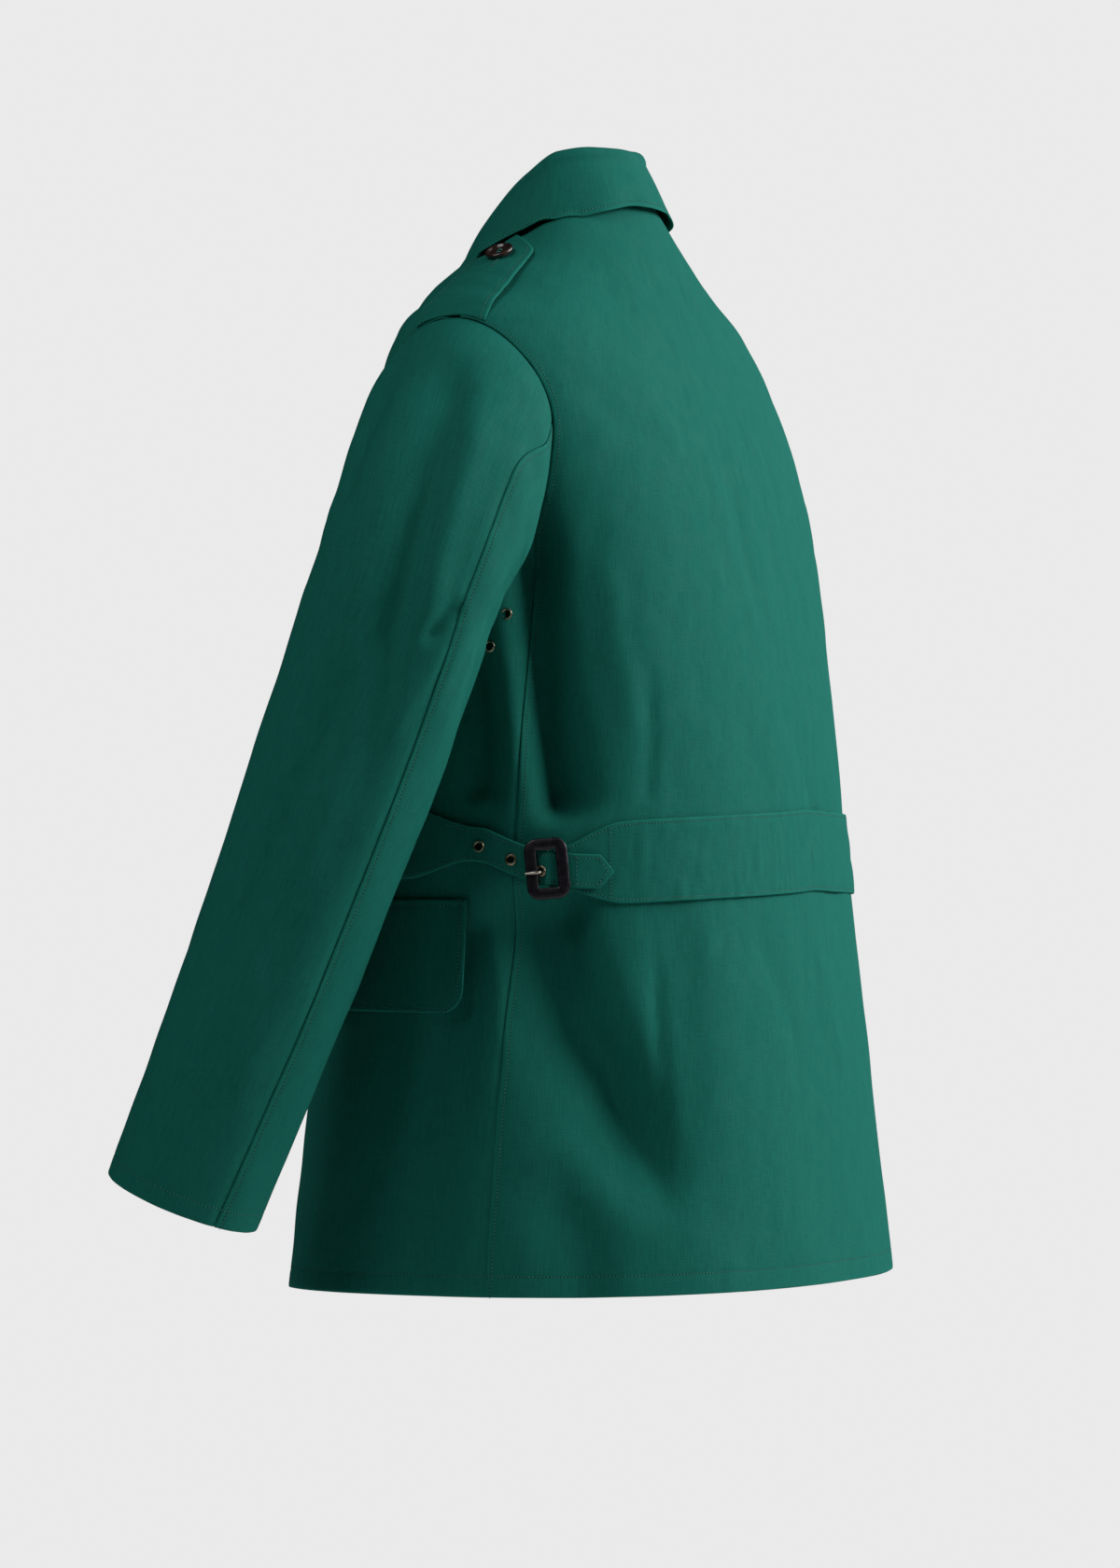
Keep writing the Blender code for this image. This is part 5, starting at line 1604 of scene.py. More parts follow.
        self.seams.along(upper.line(Edge.START, self.seam_inset, trim=(0.03, 0.97)))
        weld = (np.arange(lower.points[..., 0].size).reshape(lower.points.shape[:2]))[-1, shared:]
        cloth_piece(f"{side.word}_front_panel", grids, CLOTH, self.finishes.cotton,
                    f"front_{side.word}", weld=weld)

    def build(self) -> None:
        """Makes the three panels."""
        self.back()
        for side in Side:
            self.front(side)


# ---- sleeves
@dataclass
class Sleeve:
    """A two-piece sleeve, sewn along its back and its front."""

    side: Side
    finishes: Finishes
    seams: Stitching
    step: float = 0.0035
    back_turn: float = 84.0
    front_turn: float = 236.0
    back_seam_ways: Floats = (0.0, 0.10, 0.45, 1.5, 2.0)
    back_seam_turns: Floats = (84.0, 83.5, 62.0, 61.0, 53.0)
    cuff_inset: float = 0.0125
    seam_inset: float = 0.0040
    gap: float = 0.17  # degrees

    def half(self, name: str, node: str, turns: Pair) -> Grid:
        """Makes the upper or the under sleeve.

        Args:
            name: The piece's name.
            node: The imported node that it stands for.
            turns: First and last turn at the armhole, in degrees.

        Returns:
            Its grid.
        """
        form = SleeveForm(self.side)
        wide = (turns[1] - turns[0]) * math.radians(1) * 0.057
        upper = node.startswith("upper")
        u = spread(wide, self.step, lines=() if upper else (self.seam_inset,))
        v = spread(0.60, self.step, end_lines=(self.cuff_inset,))
        along = np.where(v < 0.25, v / 0.25, 1 + (v - 0.25) / 0.75)[:, None]
        turn = mix(turns[0] + self.gap, turns[1] - self.gap, u)[None, :]
        moved = smooth_through(self.back_seam_ways, self.back_seam_turns, along) - self.back_turn
        share = np.interp(turn, (0, self.back_turn, self.front_turn), (0, 1, 0))
        turn = np.radians(turn + moved * share)
        along = np.broadcast_to(along, turn.shape)
        flat = np.stack([turn * 0.056, -v[:, None] * 0.60 + 0 * turn], axis=-1)
        outward = -1.0 if self.side is Side.LEFT else 1.0
        points = lowered(form.surface(turn, along), Edge.BOTTOM, outward, 0.0005, 0.0050)
        points = lowered(points, Edge.END, outward, 0.0010, 0.0060)
        points, flat = tucked(points, flat, Edge.BOTTOM, outward, reach=0.0080, sink=0.0026)
        points, flat = tucked(points, flat, Edge.END, outward, reach=0.0030)
        grid = Grid(points, flat, (Edge.TOP, Edge.START), outward)
        self.seams.edge_row(grid, Edge.TOP, self.cuff_inset)
        if not upper:
            self.seams.edge_row(grid, Edge.START, self.seam_inset, (0.02, 1.0))
        cloth_piece(name, [grid], CLOTH, self.finishes.cotton, node)
        return grid

    def build(self) -> None:
        """Makes both halves."""
        word = self.side.word
        self.half(f"{word}_upper_sleeve", f"upper_sleeve_{word}",
                  (self.front_turn - 360, self.back_turn))
        self.half(f"{word}_under_sleeve", f"under_sleeve_{word}",
                  (self.back_turn, self.front_turn))


# ---- collar
@dataclass
class Collar:
    """A collar fall that rolls over its stand."""

    finishes: Finishes
    seams: Stitching
    neck_middle_y: float = -0.0215
    columns: tuple[str, ...] = ("from_back", "fold_out", "fold_height", "edge_from_back",
                                "edge_out", "edge_height")
    sections: tuple[Floats, ...] = (
        (0.0, 0.0500, 0.0655, 0.0, 0.0720, 0.0262),
        (20.0, 0.0510, 0.0660, 20.0, 0.0728, 0.0262),
        (45.0, 0.0535, 0.0660, 45.0, 0.0810, 0.0206),
        (70.0, 0.0580, 0.0625, 70.0, 0.0860, 0.0095),
        (90.0, 0.0618, 0.0472, 92.0, 0.0925, -0.0010),
        (120.0, 0.0630, 0.0165, 118.0, 0.1050, -0.0420),
        (150.0, 0.0656, -0.0105, 141.0, 0.1165, -0.0720),
        (172.0, 0.0672, -0.0230, 157.0, 0.1195, -0.1000),
    )
    sag: float = 0.0045
    roll: float = 0.0066
    roll_drop: float = 0.0085
    bulge: float = 0.0010
    stand_end: float = 158.0
    edge_inset: float = 0.0038

    def round_neck(self, from_back: Array, out: Array | float,
                   height: Array | float) -> Array:
        """Places points round the neck.

        Args:
            from_back: Signed degrees from the middle of the back.
            out: Distance from the neck's middle.
            height: Height.

        Returns:
            The points.
        """
        angle = np.radians(from_back)
        point = (out * np.sin(angle), self.neck_middle_y + out * np.cos(angle), height)
        return np.stack(np.broadcast_arrays(*point), axis=-1)

    def column(self, name: str, from_back: Array) -> Array:
        """Reads one of the collar's sizes round the neck.

        Args:
            name: Which size.
            from_back: Degrees from the middle of the back.

        Returns:
            The sizes there.
        """
        number = self.columns.index(name)
        return smooth_through([s[0] for s in self.sections], [s[number] for s in self.sections],
                              np.abs(from_back))

    def fold(self, from_back: Array) -> Array:
        """Returns the line over which the collar folds."""
        return self.round_neck(from_back, self.column("fold_out", from_back),
                               self.column("fold_height", from_back))

    def edge(self, from_back: Array) -> Array:
        """Follows the fall's lower edge.

        Args:
            from_back: Signed degrees from the middle of the back at the fold above.

        Returns:
            The edge's points.
        """
        sag = self.sag * np.exp(-(((from_back + 48.0) / 42.0) ** 2))
        turn = np.sign(from_back) * self.column("edge_from_back", from_back)
        return self.round_neck(turn, self.column("edge_out", from_back),
                               self.column("edge_height", from_back) - sag)

    def settled(self, points: Array) -> Array:
        """Lifts the fall where it would sink into the shoulders, the tabs or the fronts.

        Args:
            points: The fall's points.

        Returns:
            The lifted points.
        """
        x, y = np.abs(points[..., 0]), points[..., 1]
        angle, run = BODY.above(x, y)
        under = BODY.point(angle, run)[..., 2]
        tab = ease((0.0300 - np.abs(y + 0.0175)) / 0.004) * ease((x - 0.080) / 0.006)
        clear = CLOTH + 0.0012 + tab * (STRAP_CLOTH + 0.0024)
        clear = clear + (CLOTH + 0.0024) * ease((0.098 - x) / 0.016) * ease(-y / 0.030 - 1)
        inside = (run < BODY.neck_run - 0.004) & (run > 0.61)
        short = np.where(inside, under + clear - points[..., 2], 0.0)
        return points + np.maximum(short, 0.0)[..., None] * UP

    def stand(self) -> None:
        """Makes the stand."""
        u = spread(0.30, 0.0030)
        from_back = mix(-self.stand_end, self.stand_end, u)
        clear = 0.0003 + 0.0026 * ease((np.abs(from_back) - 125) / 30)
        seam = BODY.point(math.pi / 2 - np.radians(from_back), np.full(len(u), BODY.neck_run))
        seam = seam + clear[:, None] * UP
        top = self.fold(from_back) - UP * (CLOTH + 1.5 * LAYER_GAP)
        v = spread(0.04, 0.0030)
        points = mix(seam[None], top[None], v[:, None, None])
        flat = np.stack(np.broadcast_arrays(from_back[None] * 0.001, v[:, None] * 0.04), axis=-1)
        points, flat = tucked(points, flat, Edge.BOTTOM, -1.0, reach=0.0060, sink=0.0024)
        cloth_piece("collar_band", [Grid(points, flat, tuple(Edge), -1.0)], CLOTH,
                    self.finishes.cotton, "collar_stand")

    def fall(self) -> None:
        """Makes the fall."""
        end = self.sections[-1][0]
        u = spread(0.52, 0.0030, lines=(self.edge_inset,), end_lines=(self.edge_inset,))
        from_back = mix(-end, end, u)
        fold, edge = self.fold(from_back), self.edge(from_back)
        out = self.round_neck(from_back, 1.0, 0.0) - [0, self.neck_middle_y, 0]
        low = fold + out * self.roll - UP * self.roll_drop
        rows = [fold - out * CLOTH * 0.8 - UP * 0.0006, fold - out * CLOTH * 0.45 + UP * 0.0002]
        for turn in np.radians((8, 26, 45, 63, 78, 90)):
            rows.append(fold + out * self.roll * math.sin(turn)
                        + UP * (0.0009 - self.roll_drop * (1 - math.cos(turn))))
        rows[-1] = low
        v = spread(0.055, 0.0028, near=(), end_lines=(self.edge_inset,))
        v = np.unique(np.concatenate([v, 1 - np.array([0.0005, 0.0016]) / 0.055]))
        wave = 0.0007 * ripple(from_back * 0.0013, np.zeros(len(u)), 31, 0.05)
        for down in v[1:]:
            belly = self.bulge * math.sin(math.pi * down) + wave * down**1.5
            curl = 0.0016 * down**6 * np.exp(-(((from_back + 35) / 30) ** 2))
            rows.append(mix(low, edge, down) + out * np.reshape(belly + curl, (-1, 1)))
        points = self.settled(np.stack(rows))
        lengths = np.linalg.norm(np.diff(points[:, len(u) // 2], axis=0), axis=-1)
        down = np.concatenate([[0], np.cumsum(lengths)])
        flat = np.stack(np.broadcast_arrays(from_back[None] * 0.0014, -down[:, None]), axis=-1)
        grid = Grid(points, flat, tuple(Edge), 1.0)
        self.seams.edge_row(grid, Edge.TOP, self.edge_inset, (0.012, 0.988))
        for edge in (Edge.START, Edge.END):
            self.seams.edge_row(grid, edge, self.edge_inset, (0.25, 0.94))
        cloth_piece("collar_turned_fall", [grid], CLOTH, self.finishes.cotton, "collar_fall")

    def build(self) -> None:
        """Makes the stand and the fall."""
        self.stand()
        self.fall()


# ---- belt, straps, buckles
@dataclass
class Belt:
    """The half belt with its side straps, eyelets and buckles."""

    finishes: Finishes
    seams: Stitching
    leather_seams: Stitching
    heights: tuple[float, float, float] = (-0.4225, -0.4300, -0.4340)
    anchor_angle: float = 27.0
    buckle_angle: float = 16.0
    half_wide: float = 0.0280
    waist_radius: float = 0.222
    bar_radius: float = 0.0011
    bar_offset: float = 0.0010
    buckle_half: Pair = (0.0146, 0.0207)
    band: float = 0.0081
    half_thick: float = 0.0024
    corner: float = 0.0075
    buckle_stands: float = 0.0083
    prong_radius: float = 0.0011
    prong_height: float = -0.0022
    strap_half: float = 0.0116
    strap_ways: Floats = (-0.160, -0.060, -0.030, -0.0157, -0.0075, 0.0010, 0.0080,
                                     0.0160, 0.0450)
    strap_stands: Floats = (0.0020, 0.0036, 0.0044, 0.0043, 0.0045, 0.0074, 0.0046,
                                       0.0046, 0.0046)
    climb_ways: Floats = (-0.163, -0.100, -0.065, -0.046, -0.024, -0.0175, -0.006,
                                     0.002, 0.010, 0.020, 0.045)
    climbs: Floats = (0.0170, 0.0170, 0.0172, 0.0162, 0.0079, 0.0055, 0.0008, 0.0,
                                 -0.0012, -0.0035, -0.0062)
    belt_angles: Floats = (16.0, 18.2, 20.0, 23.8, 28.7, 32.0)
    belt_halves: Floats = (0.0130, 0.0137, 0.0155, 0.0218, 0.0273, 0.0280)
    strap_front_angle: float = -26.0
    strap_front_half: float = 0.0240
    strap_end: float = 0.0440
    strap_point: float = 0.0092  # length of the strap's pointed end
    keeper_way: float = 0.0190  # where a row of stitches crosses the strap behind the buckle
    belt_inset: float = 0.0026
    strap_inset: float = 0.0030
    eyelet_ways: Floats = (-0.0042, -0.0239, -0.0461)

    def on_belt(self, angle: Array, across: Array, lift: Array | float,
                side: Side) -> Array:
        """Places points above the smooth body along the belt's middle line.

        Args:
            angle: Left-hand angles in degrees.
            across: Metres above the middle line.
            lift: Metres out of the body.
            side: The side of the wearer.

        Returns:
            The points.
        """
        angle, across = np.broadcast_arrays(np.asarray(angle, float), across)
        height = smooth_through((self.buckle_angle, self.anchor_angle, 90.0),
                                self.heights[::-1], angle) + across
        turn = np.radians(angle)
        run = bisect(lambda r: BODY.point(turn, r)[..., 2] < height, 0.0, BODY.neck_run,
                     height.shape)
        turn = on_side(turn, side)
        lift = np.broadcast_to(lift, height.shape)
        return BODY.point(turn, run) + BODY.normal(turn, run) * lift[..., None]

    def half_belt(self) -> None:
        """Makes the half belt, from one buckle bar to the other."""
        past_bar = self.bar_offset + self.bar_radius + 0.0010
        end = self.buckle_angle + math.degrees(past_bar / self.waist_radius)
        u = spread(0.30, 0.0026)
        left = mix(end, 90.0, u)
        half = smooth_through(self.belt_angles, self.belt_halves, left)
        rise = 0.0010 * ease((end + 1.0 - left) / 1.0)
        rows = (self.belt_inset,)
        v = spread(0.055, 0.0040, lines=rows, end_lines=rows)
        across = mix(-1, 1, v)[:, None] * half
        way = np.radians(left)[None] * self.waist_radius
        pull = 0.0005 * ripple(way, across, 41, 0.022) * ease((left - 26) / 8)
        lift = 0.0006 + rise + STRAP_CLOTH + np.abs(pull)
        near = self.on_belt(left[None], across, lift, Side.LEFT)
        mirror = 0.0005 * ripple(way, across, 42, 0.022) * ease((left - 26) / 8)
        lift = rise + STRAP_CLOTH - 0.0006 * ease((90 - left) / 30) + np.abs(mirror) + 0.0006
        far = self.on_belt(left[None], across, lift, Side.RIGHT)
        far[:, -1] = near[:, -1]
        points = np.concatenate([near, far[:, -2::-1]], axis=1)
        round_it = np.concatenate([way, 2 * way[:, -1:] - way[:, -2::-1]], axis=1)
        both = np.concatenate([across, across[:, -2::-1]], axis=1)
        grid = Grid(points, np.stack(np.broadcast_arrays(round_it, both), axis=-1),
                    tuple(Edge), 1.0)
        for edge in (Edge.BOTTOM, Edge.TOP):
            self.seams.edge_row(grid, edge, self.belt_inset, (0.015, 0.985))
        cloth_piece("waist_half_belt", [grid], STRAP_CLOTH, self.finishes.cotton, "half_belt")
        for side in Side:
            angle = np.full(24, self.anchor_angle)
            up = np.linspace(-self.half_wide + 0.005, self.half_wide - 0.005, 24)
            self.seams.along(self.on_belt(angle, up, LAYER_GAP + STRAP_CLOTH + 0.0003, side))

    def on_strap(self, way: Array, across: Array, lift: Array | float,
                 side: Side) -> Array:
        """Places points on a side strap.

        Args:
            way: Metres from the buckle, towards the back.
            across: Metres above the strap's middle.
            lift: Metres out of it.
            side: The side of the wearer.

        Returns:
            The points.
        """
        way = np.asarray(way, float)
        angle = self.buckle_angle + np.degrees(way / self.waist_radius)
        stands = smooth_through(self.strap_ways, self.strap_stands, way)
        climb = smooth_through(self.climb_ways, self.climbs, way)
        return self.on_belt(angle, across + climb, stands + lift, side)

    def strap(self, side: Side) -> None:
        """Makes a side strap, which passes through the buckle onto the half belt.

        Args:
            side: The side of the wearer.
        """
        front = -math.radians(self.buckle_angle - self.strap_front_angle) * self.waist_radius
        u = spread(self.strap_end - front, 0.0018)
        way = mix(front, self.strap_end, u)
        half = mix(self.strap_half, self.strap_front_half, ease((-way - 0.050) / 0.052))
        half = half * np.interp(way, (self.strap_end - self.strap_point, self.strap_end),
                                (1.0, 0.06))
        rows = (self.strap_inset,)
        v = spread(0.024, 0.0030, lines=rows, end_lines=rows)
        across = mix(-1, 1, v)[:, None] * half
        places = np.broadcast_to(way, across.shape)
        buckled = 0.0004 * ripple(places, across, 51 + side.value, 0.018)
        points = self.on_strap(places, across, STRAP_CLOTH / 2 + np.abs(buckled), side)
        grid = Grid(points, np.stack([places, across], axis=-1), tuple(Edge),
                    1.0 if side is Side.LEFT else -1.0)
        share = (self.strap_end - self.strap_point - front) / (self.strap_end - front)
        for edge in (Edge.BOTTOM, Edge.TOP):
            self.seams.edge_row(grid, edge, self.strap_inset, (0.0, share - 0.005))
        lift = STRAP_CLOTH / 2 + 0.0003
        tip = self.strap_end
        corner_way = np.array([tip - 0.0105, tip - 0.0042, tip - 0.0105])
        reach = self.strap_half - self.strap_inset
        corner_up = np.array([reach, 0.0, -reach])
        shares = np.linspace(0, 2, 15)
        self.seams.along(self.on_strap(np.interp(shares, (0, 1, 2), corner_way),
                                       np.interp(shares, (0, 1, 2), corner_up), lift, side))
        up = np.linspace(-1, 1, 12) * reach
        self.seams.along(self.on_strap(np.full(12, self.keeper_way), up, lift, side))
        cloth_piece(f"{side.word}_side_strap", [grid], STRAP_CLOTH, self.finishes.cotton,
                    f"side_strap_{side.word}")
        for number, place in enumerate(self.eyelet_ways):
            up_by = self.prong_height * (1 - number / 4)
            small = 0.002
            spots = [self.on_strap(np.array(place + dx), np.array(up_by + dy),
                                   STRAP_CLOTH / 2 + 0.0008, side)
                     for dx, dy in ((0, 0), (small, 0), (-small, 0), (0, small), (0, -small))]
            x = unit(spots[1] - spots[2]) * side.value
            z = unit(np.cross(x, spots[3] - spots[4]))
            axes = np.stack([x, np.cross(z, x), z], axis=-1)
            eyelet(f"{side.word}_strap_ring_{number + 1}", spots[0], axes, self.finishes,
                   f"strap_eyelet_{side.word}_{number + 1}")

    def frame_axes(self, side: Side) -> tuple[Array, Array]:
        """Finds where a buckle lies.

        Args:
            side: The side of the wearer.

        Returns:
            Its middle on the smooth body and its axes, the last one out of the cloth.
        """
        centre = self.on_belt(np.array(self.buckle_angle), np.array(0.0), 0.0, side)
        ahead = self.on_belt(np.array(self.buckle_angle + 1.0), np.array(0.0), 0.0, side)
        over = self.on_belt(np.array(self.buckle_angle), np.array(0.01), 0.0, side)
        x = unit(ahead - centre) * side.value
        z = unit(np.cross(x, over - centre))
        return centre, np.stack([x, np.cross(z, x), z], axis=-1)

    def outline(self, inset: float, steps: int) -> Array:
        """Draws the frame's rounded outline.

        Args:
            inset: How far inside the outer edge it lies.
            steps: Steps round each corner.

        Returns:
            (x, y) points.
        """
        half_x, half_y = self.buckle_half[0] - inset, self.buckle_half[1] - inset
        radius = max(self.corner - inset * 0.75, 0.0012)
        path = []
        for quarter, (sx, sy) in enumerate(((1, 1), (-1, 1), (-1, -1), (1, -1))):
            for step in range(steps + 1):
                t = math.radians(90 * quarter + 90 * step / steps)
                path.append((sx * (half_x - radius) + radius * math.cos(t),
                             sy * (half_y - radius) + radius * math.sin(t)))
        return np.array(path)

    def buckle(self, side: Side) -> None:
        """Makes a leather-covered frame with its stitching and its prong.

        Args:
            side: The side of the wearer.
        """
        centre, axes = self.frame_axes(side)
        middle = self.outline(self.band / 2, 10)
        count = len(middle)
        way = unit(np.roll(middle, -1, axis=0) - np.roll(middle, 1, axis=0))
        out = np.stack([way[:, 1], -way[:, 0]], axis=-1)
        turn = FULL_TURN * (np.arange(20) + 0.5) / 20
        reach = self.band / 2 * np.sign(np.cos(turn)) * np.abs(np.cos(turn)) ** 0.62
        height = self.half_thick * np.sign(np.sin(turn)) * np.abs(np.sin(turn)) ** 0.72
        dent = 0.00035 * np.exp(-(((np.abs(reach) - self.band / 2 + 0.0017) / 0.0006) ** 2))
        height = np.where(height > 0, height - dent, height)
        flat = middle[:, None] + out[:, None] * reach[None, :, None]
        local = np.concatenate([flat, np.broadcast_to(height, flat.shape[:2])[..., None]], axis=-1)
        local[..., 2] += self.buckle_stands
        points = centre + local @ axes.T
        index = np.arange(count * 20).reshape(count, 20)
        over, round_it = np.roll(index, -1, axis=1), np.roll(index, -1, axis=0)
        both = np.roll(over, -1, axis=0)
        faces = np.stack([index, over, both, round_it], axis=-1).reshape(-1, 4)
        mesh = closed_mesh(f"{side.word}_buckle_frame", points, faces.tolist())
        new_piece(f"{side.word}_buckle_frame", mesh, self.finishes.leather,
                  [f"buckle_{side.word}"])
        for inset in (0.0017, self.band - 0.0017):
            ring = self.outline(inset, 8)
            ring = np.concatenate([ring, ring[:1]])
            spots = np.concatenate([ring, np.full((len(ring), 1), self.buckle_stands
                                                  + self.half_thick - 0.00015)], axis=1)
            self.leather_seams.along(centre + spots @ axes.T)
        top = self.buckle_stands + self.half_thick + self.prong_radius + LAYER_GAP * 0.4
        knots = np.array([(-0.0040, 0.0080), (-0.0044, top - 0.0022), (-0.0058, top - 0.0002),
                          (-0.0082, top + 0.0003), (-0.0112, top + 0.0001), (-0.0148, top)])
        shares = np.linspace(0, 1, 26)
        at = np.linspace(0, 1, len(knots))
        route = np.stack([np.interp(shares, at, knots[:, 0]) * side.value,
                          np.full(26, self.prong_height),
                          smooth_through(at, knots[:, 1], shares)], axis=-1)
        radii = self.prong_radius * (1 - 0.35 * ease((shares - 0.6) / 0.4))
        mesh = tube_mesh(f"{side.word}_buckle_prong", centre + route @ axes.T, radii, 12)
        new_piece(f"{side.word}_buckle_prong", mesh, self.finishes.metal,
                  [f"prong_{side.word}"])

    def build(self) -> None:
        """Makes the belt and both straps with their buckles."""
        self.half_belt()
        for side in Side:
            self.strap(side)
            self.buckle(side)
            bar = bpy.data.objects[f"buckle_bar_{side.word}"]
            for slot in bar.material_slots:
                slot.material = self.finishes.metal


def eyelet(name: str, at: Array, axes: Array, finishes: Finishes, node: str) -> None:
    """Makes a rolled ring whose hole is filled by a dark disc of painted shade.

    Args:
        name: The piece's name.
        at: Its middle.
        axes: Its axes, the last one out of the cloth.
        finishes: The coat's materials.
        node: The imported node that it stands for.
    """
    outer, inner, proud = 0.0041, 0.0023, 0.0009
    turns = np.linspace(0, math.pi, 9)
    middle, half = (outer + inner) / 2, (outer - inner) / 2
    profile = [(middle + half * math.cos(t), proud * math.sin(t)) for t in turns]
    profile += [(inner, -0.0004), (outer, -0.0004)]
    ring = lathe_mesh(f"{name}_ring", profile, 28, at, axes)
    # dark disc in the ring's hole: painted shade
    disc = lathe_mesh(f"{name}_hole", [(0.0, 0.0), (inner * 1.15, 0.0), (inner * 1.15, -0.0003),
                                       (0.0, -0.0003)], 20, at - axes[:, 2] * 0.0001, axes)
    mesh = joined(name, [(ring, finishes.brass), (disc, finishes.hole)])
    new_piece(name, mesh, finishes.brass, [node])


# ---- flaps, tabs, buttons
@dataclass
class PocketFlap:
    """A pocket flap with round lower corners that hangs a little away from the front."""

    side: Side
    finishes: Finishes
    seams: Stitching
    panels: BodyPanels
    top: float = -0.4545
    bottom: float = -0.5310
    rear_y: float = 0.0060
    length: float = 0.170
    corner: float = 0.0160
    stands: float = 0.0045
    edge_inset: float = 0.0045

    def build(self) -> None:
        """Makes the flap."""
        start = float(BODY.beside(np.array(self.rear_y), np.array(self.top))[0])
        depth = self.top - self.bottom
        rows = (self.edge_inset,)
        down = spread(depth, 0.0030, lines=rows, end_lines=rows) * depth
        into = np.clip(down - (depth - self.corner), 0, self.corner)
        cut = self.corner - np.sqrt(self.corner**2 - into**2 * 0.96)
        u = spread(self.length, 0.0034, lines=rows, end_lines=rows)
        half = (self.length / 2 - cut)[:, None] * mix(-1, 1, u)[None, :]
        angle = start - (self.length / 2 - half) / 0.205
        run = BODY.run_at_height(self.top - down)[:, None] + np.zeros(half.shape)
        share = (down / depth)[:, None]
        rear = ease((half / (self.length / 2) - 0.55) / 0.45)
        lift = LAYER_GAP + self.stands * share**1.3 + 0.0022 * rear * share
        lift = lift + 0.0006 * share * ripple(half, down[:, None] + 0 * half, 61, 0.05)
        if self.side is Side.LEFT:
            lift = lift + self.panels.lap_lift(angle, run)
        turn = on_side(angle, self.side)
        flat = np.stack([half, -down[:, None] + 0 * half], axis=-1)
        points = BODY.surface(turn, run, lift + STRAP_CLOTH, fine=False)
        grid = Grid(points, flat, tuple(Edge), -1.0 if self.side is Side.LEFT else 1.0)
        for edge, trim in ((Edge.TOP, (0.03, 0.97)), (Edge.START, (0.02, 0.94)),
                           (Edge.END, (0.02, 0.94)), (Edge.BOTTOM, (0.03, 0.97))):
            self.seams.edge_row(grid, edge, self.edge_inset, trim)
        cloth_piece(f"{self.side.word}_flap", [grid], STRAP_CLOTH, self.finishes.cotton,
                    f"pocket_flap_{self.side.word}")


@dataclass
class ShoulderTab:
    """A tab from the armhole to the collar, with a pointed end, a button and its hole."""

    side: Side
    finishes: Finishes
    seams: Stitching
    end_x: float = 0.1065
    middle_y: Pair = (-0.0180, -0.0175)
    half_widths: Pair = (0.0270, 0.0215)
    straight: float = 0.095  # length of the tab before its point
    point: float = 0.0180
    button_x: float = 0.1140
    button_radius: float = 0.0100
    edge_inset: float = 0.0045

    def places(self, share: Array, across: Array) -> tuple[Array, Array]:
        """Places points on the tab.

        Args:
            share: Shares of the way from the armhole; above 1 lies the pointed end.
            across: From -1 to 1 across the tab.

        Returns:
            Their angles and their runs.
        """
        straight = np.clip(share, 0, 1)
        past = np.clip(share - 1, 0, 1)
        half = mix(self.half_widths[0], self.half_widths[1], straight) * (1 - 0.94 * past)
        y = mix(self.middle_y[0], self.middle_y[1], straight) + half * across
        seam_y, seam_z = BODY.armhole(np.linspace(-70, 40, 90))
        seam_x = BODY.point(*BODY.beside(seam_y, seam_z))[..., 0]
        base = np.interp(y, seam_y, seam_x) - LAYER_GAP
        angle, run = BODY.above(mix(base, self.end_x, straight) - self.point * past, y)
        return on_side(angle, self.side), run

    def build(self) -> None:
        """Makes the tab, its button and its button hole."""
        long = self.straight + self.point
        share = spread(long, 0.0028) * (1 + self.point / self.straight)
        share = np.where(share > 1, 1 + (share - 1) * self.straight / self.point, share)
        rows = (self.edge_inset,)
        v = spread(0.048, 0.0030, lines=rows, end_lines=rows)
        s, a = np.meshgrid(np.minimum(share, 2.0), mix(-1, 1, v))
        angle, run = self.places(s, a)
        arch = 0.0014 * np.sin(math.pi * np.clip(s / 1.1, 0, 1))
        soft = 0.0004 * ripple(s * 0.1, a * 0.024, 71 + self.side.value, 0.03)
        lift = (LAYER_GAP + STRAP_CLOTH) * (0.40 + 0.60 * ease(s / 0.14)) + arch + np.abs(soft)
        points = BODY.surface(angle, run, lift, fine=False)
        flat = np.stack([s * self.straight, a * 0.024], axis=-1)
        grid = Grid(points, flat, tuple(Edge), 1.0 if self.side is Side.LEFT else -1.0)
        grid.outward = float(np.sign(grid.normals[..., 2].mean()) * grid.outward)
        grid.normals = grid.normals * np.sign(grid.normals[..., 2].mean())
        for edge in (Edge.BOTTOM, Edge.TOP):
            self.seams.edge_row(grid, edge, self.edge_inset, (0.02, 0.84))
        cloth_piece(f"{self.side.word}_shoulder_tab", [grid], STRAP_CLOTH, self.finishes.cotton,
                    f"shoulder_tab_{self.side.word}")
        top = LAYER_GAP + STRAP_CLOTH + 0.0016
        angle, run = BODY.above(np.array(self.button_x), np.array(self.middle_y[1]))
        button(f"{self.side.word}_tab_horn_button", self.button_radius,
               *frame_on(on_side(angle, self.side), run, top), self.finishes,
               f"tab_button_{self.side.word}")
        for shift in (-0.0006, 0.0006):
            x = np.linspace(self.button_x + 0.004, self.button_x + 0.019, 12)
            angle, run = BODY.above(x, np.full(12, self.middle_y[1] + 0.002 + shift))
            self.seams.along(BODY.surface(on_side(angle, self.side), run, top + 0.0002, False))


def frame_on(angle: Array, run: Array, lift: float) -> tuple[Array, Array]:
    """Finds where a button or an eyelet lies on the smooth body.

    Args:
        angle: Its angle in radians.
        run: Its run.
        lift: How far out of the body it lies.

    Returns:
        Its place and its axes: round the body, up it and out of it.
    """
    small = 1e-3
    out = BODY.normal(angle, run)
    up = unit(BODY.point(angle, run + small) - BODY.point(angle, run - small))
    return BODY.point(angle, run) + out * lift, np.stack([np.cross(up, out), up, out], axis=-1)


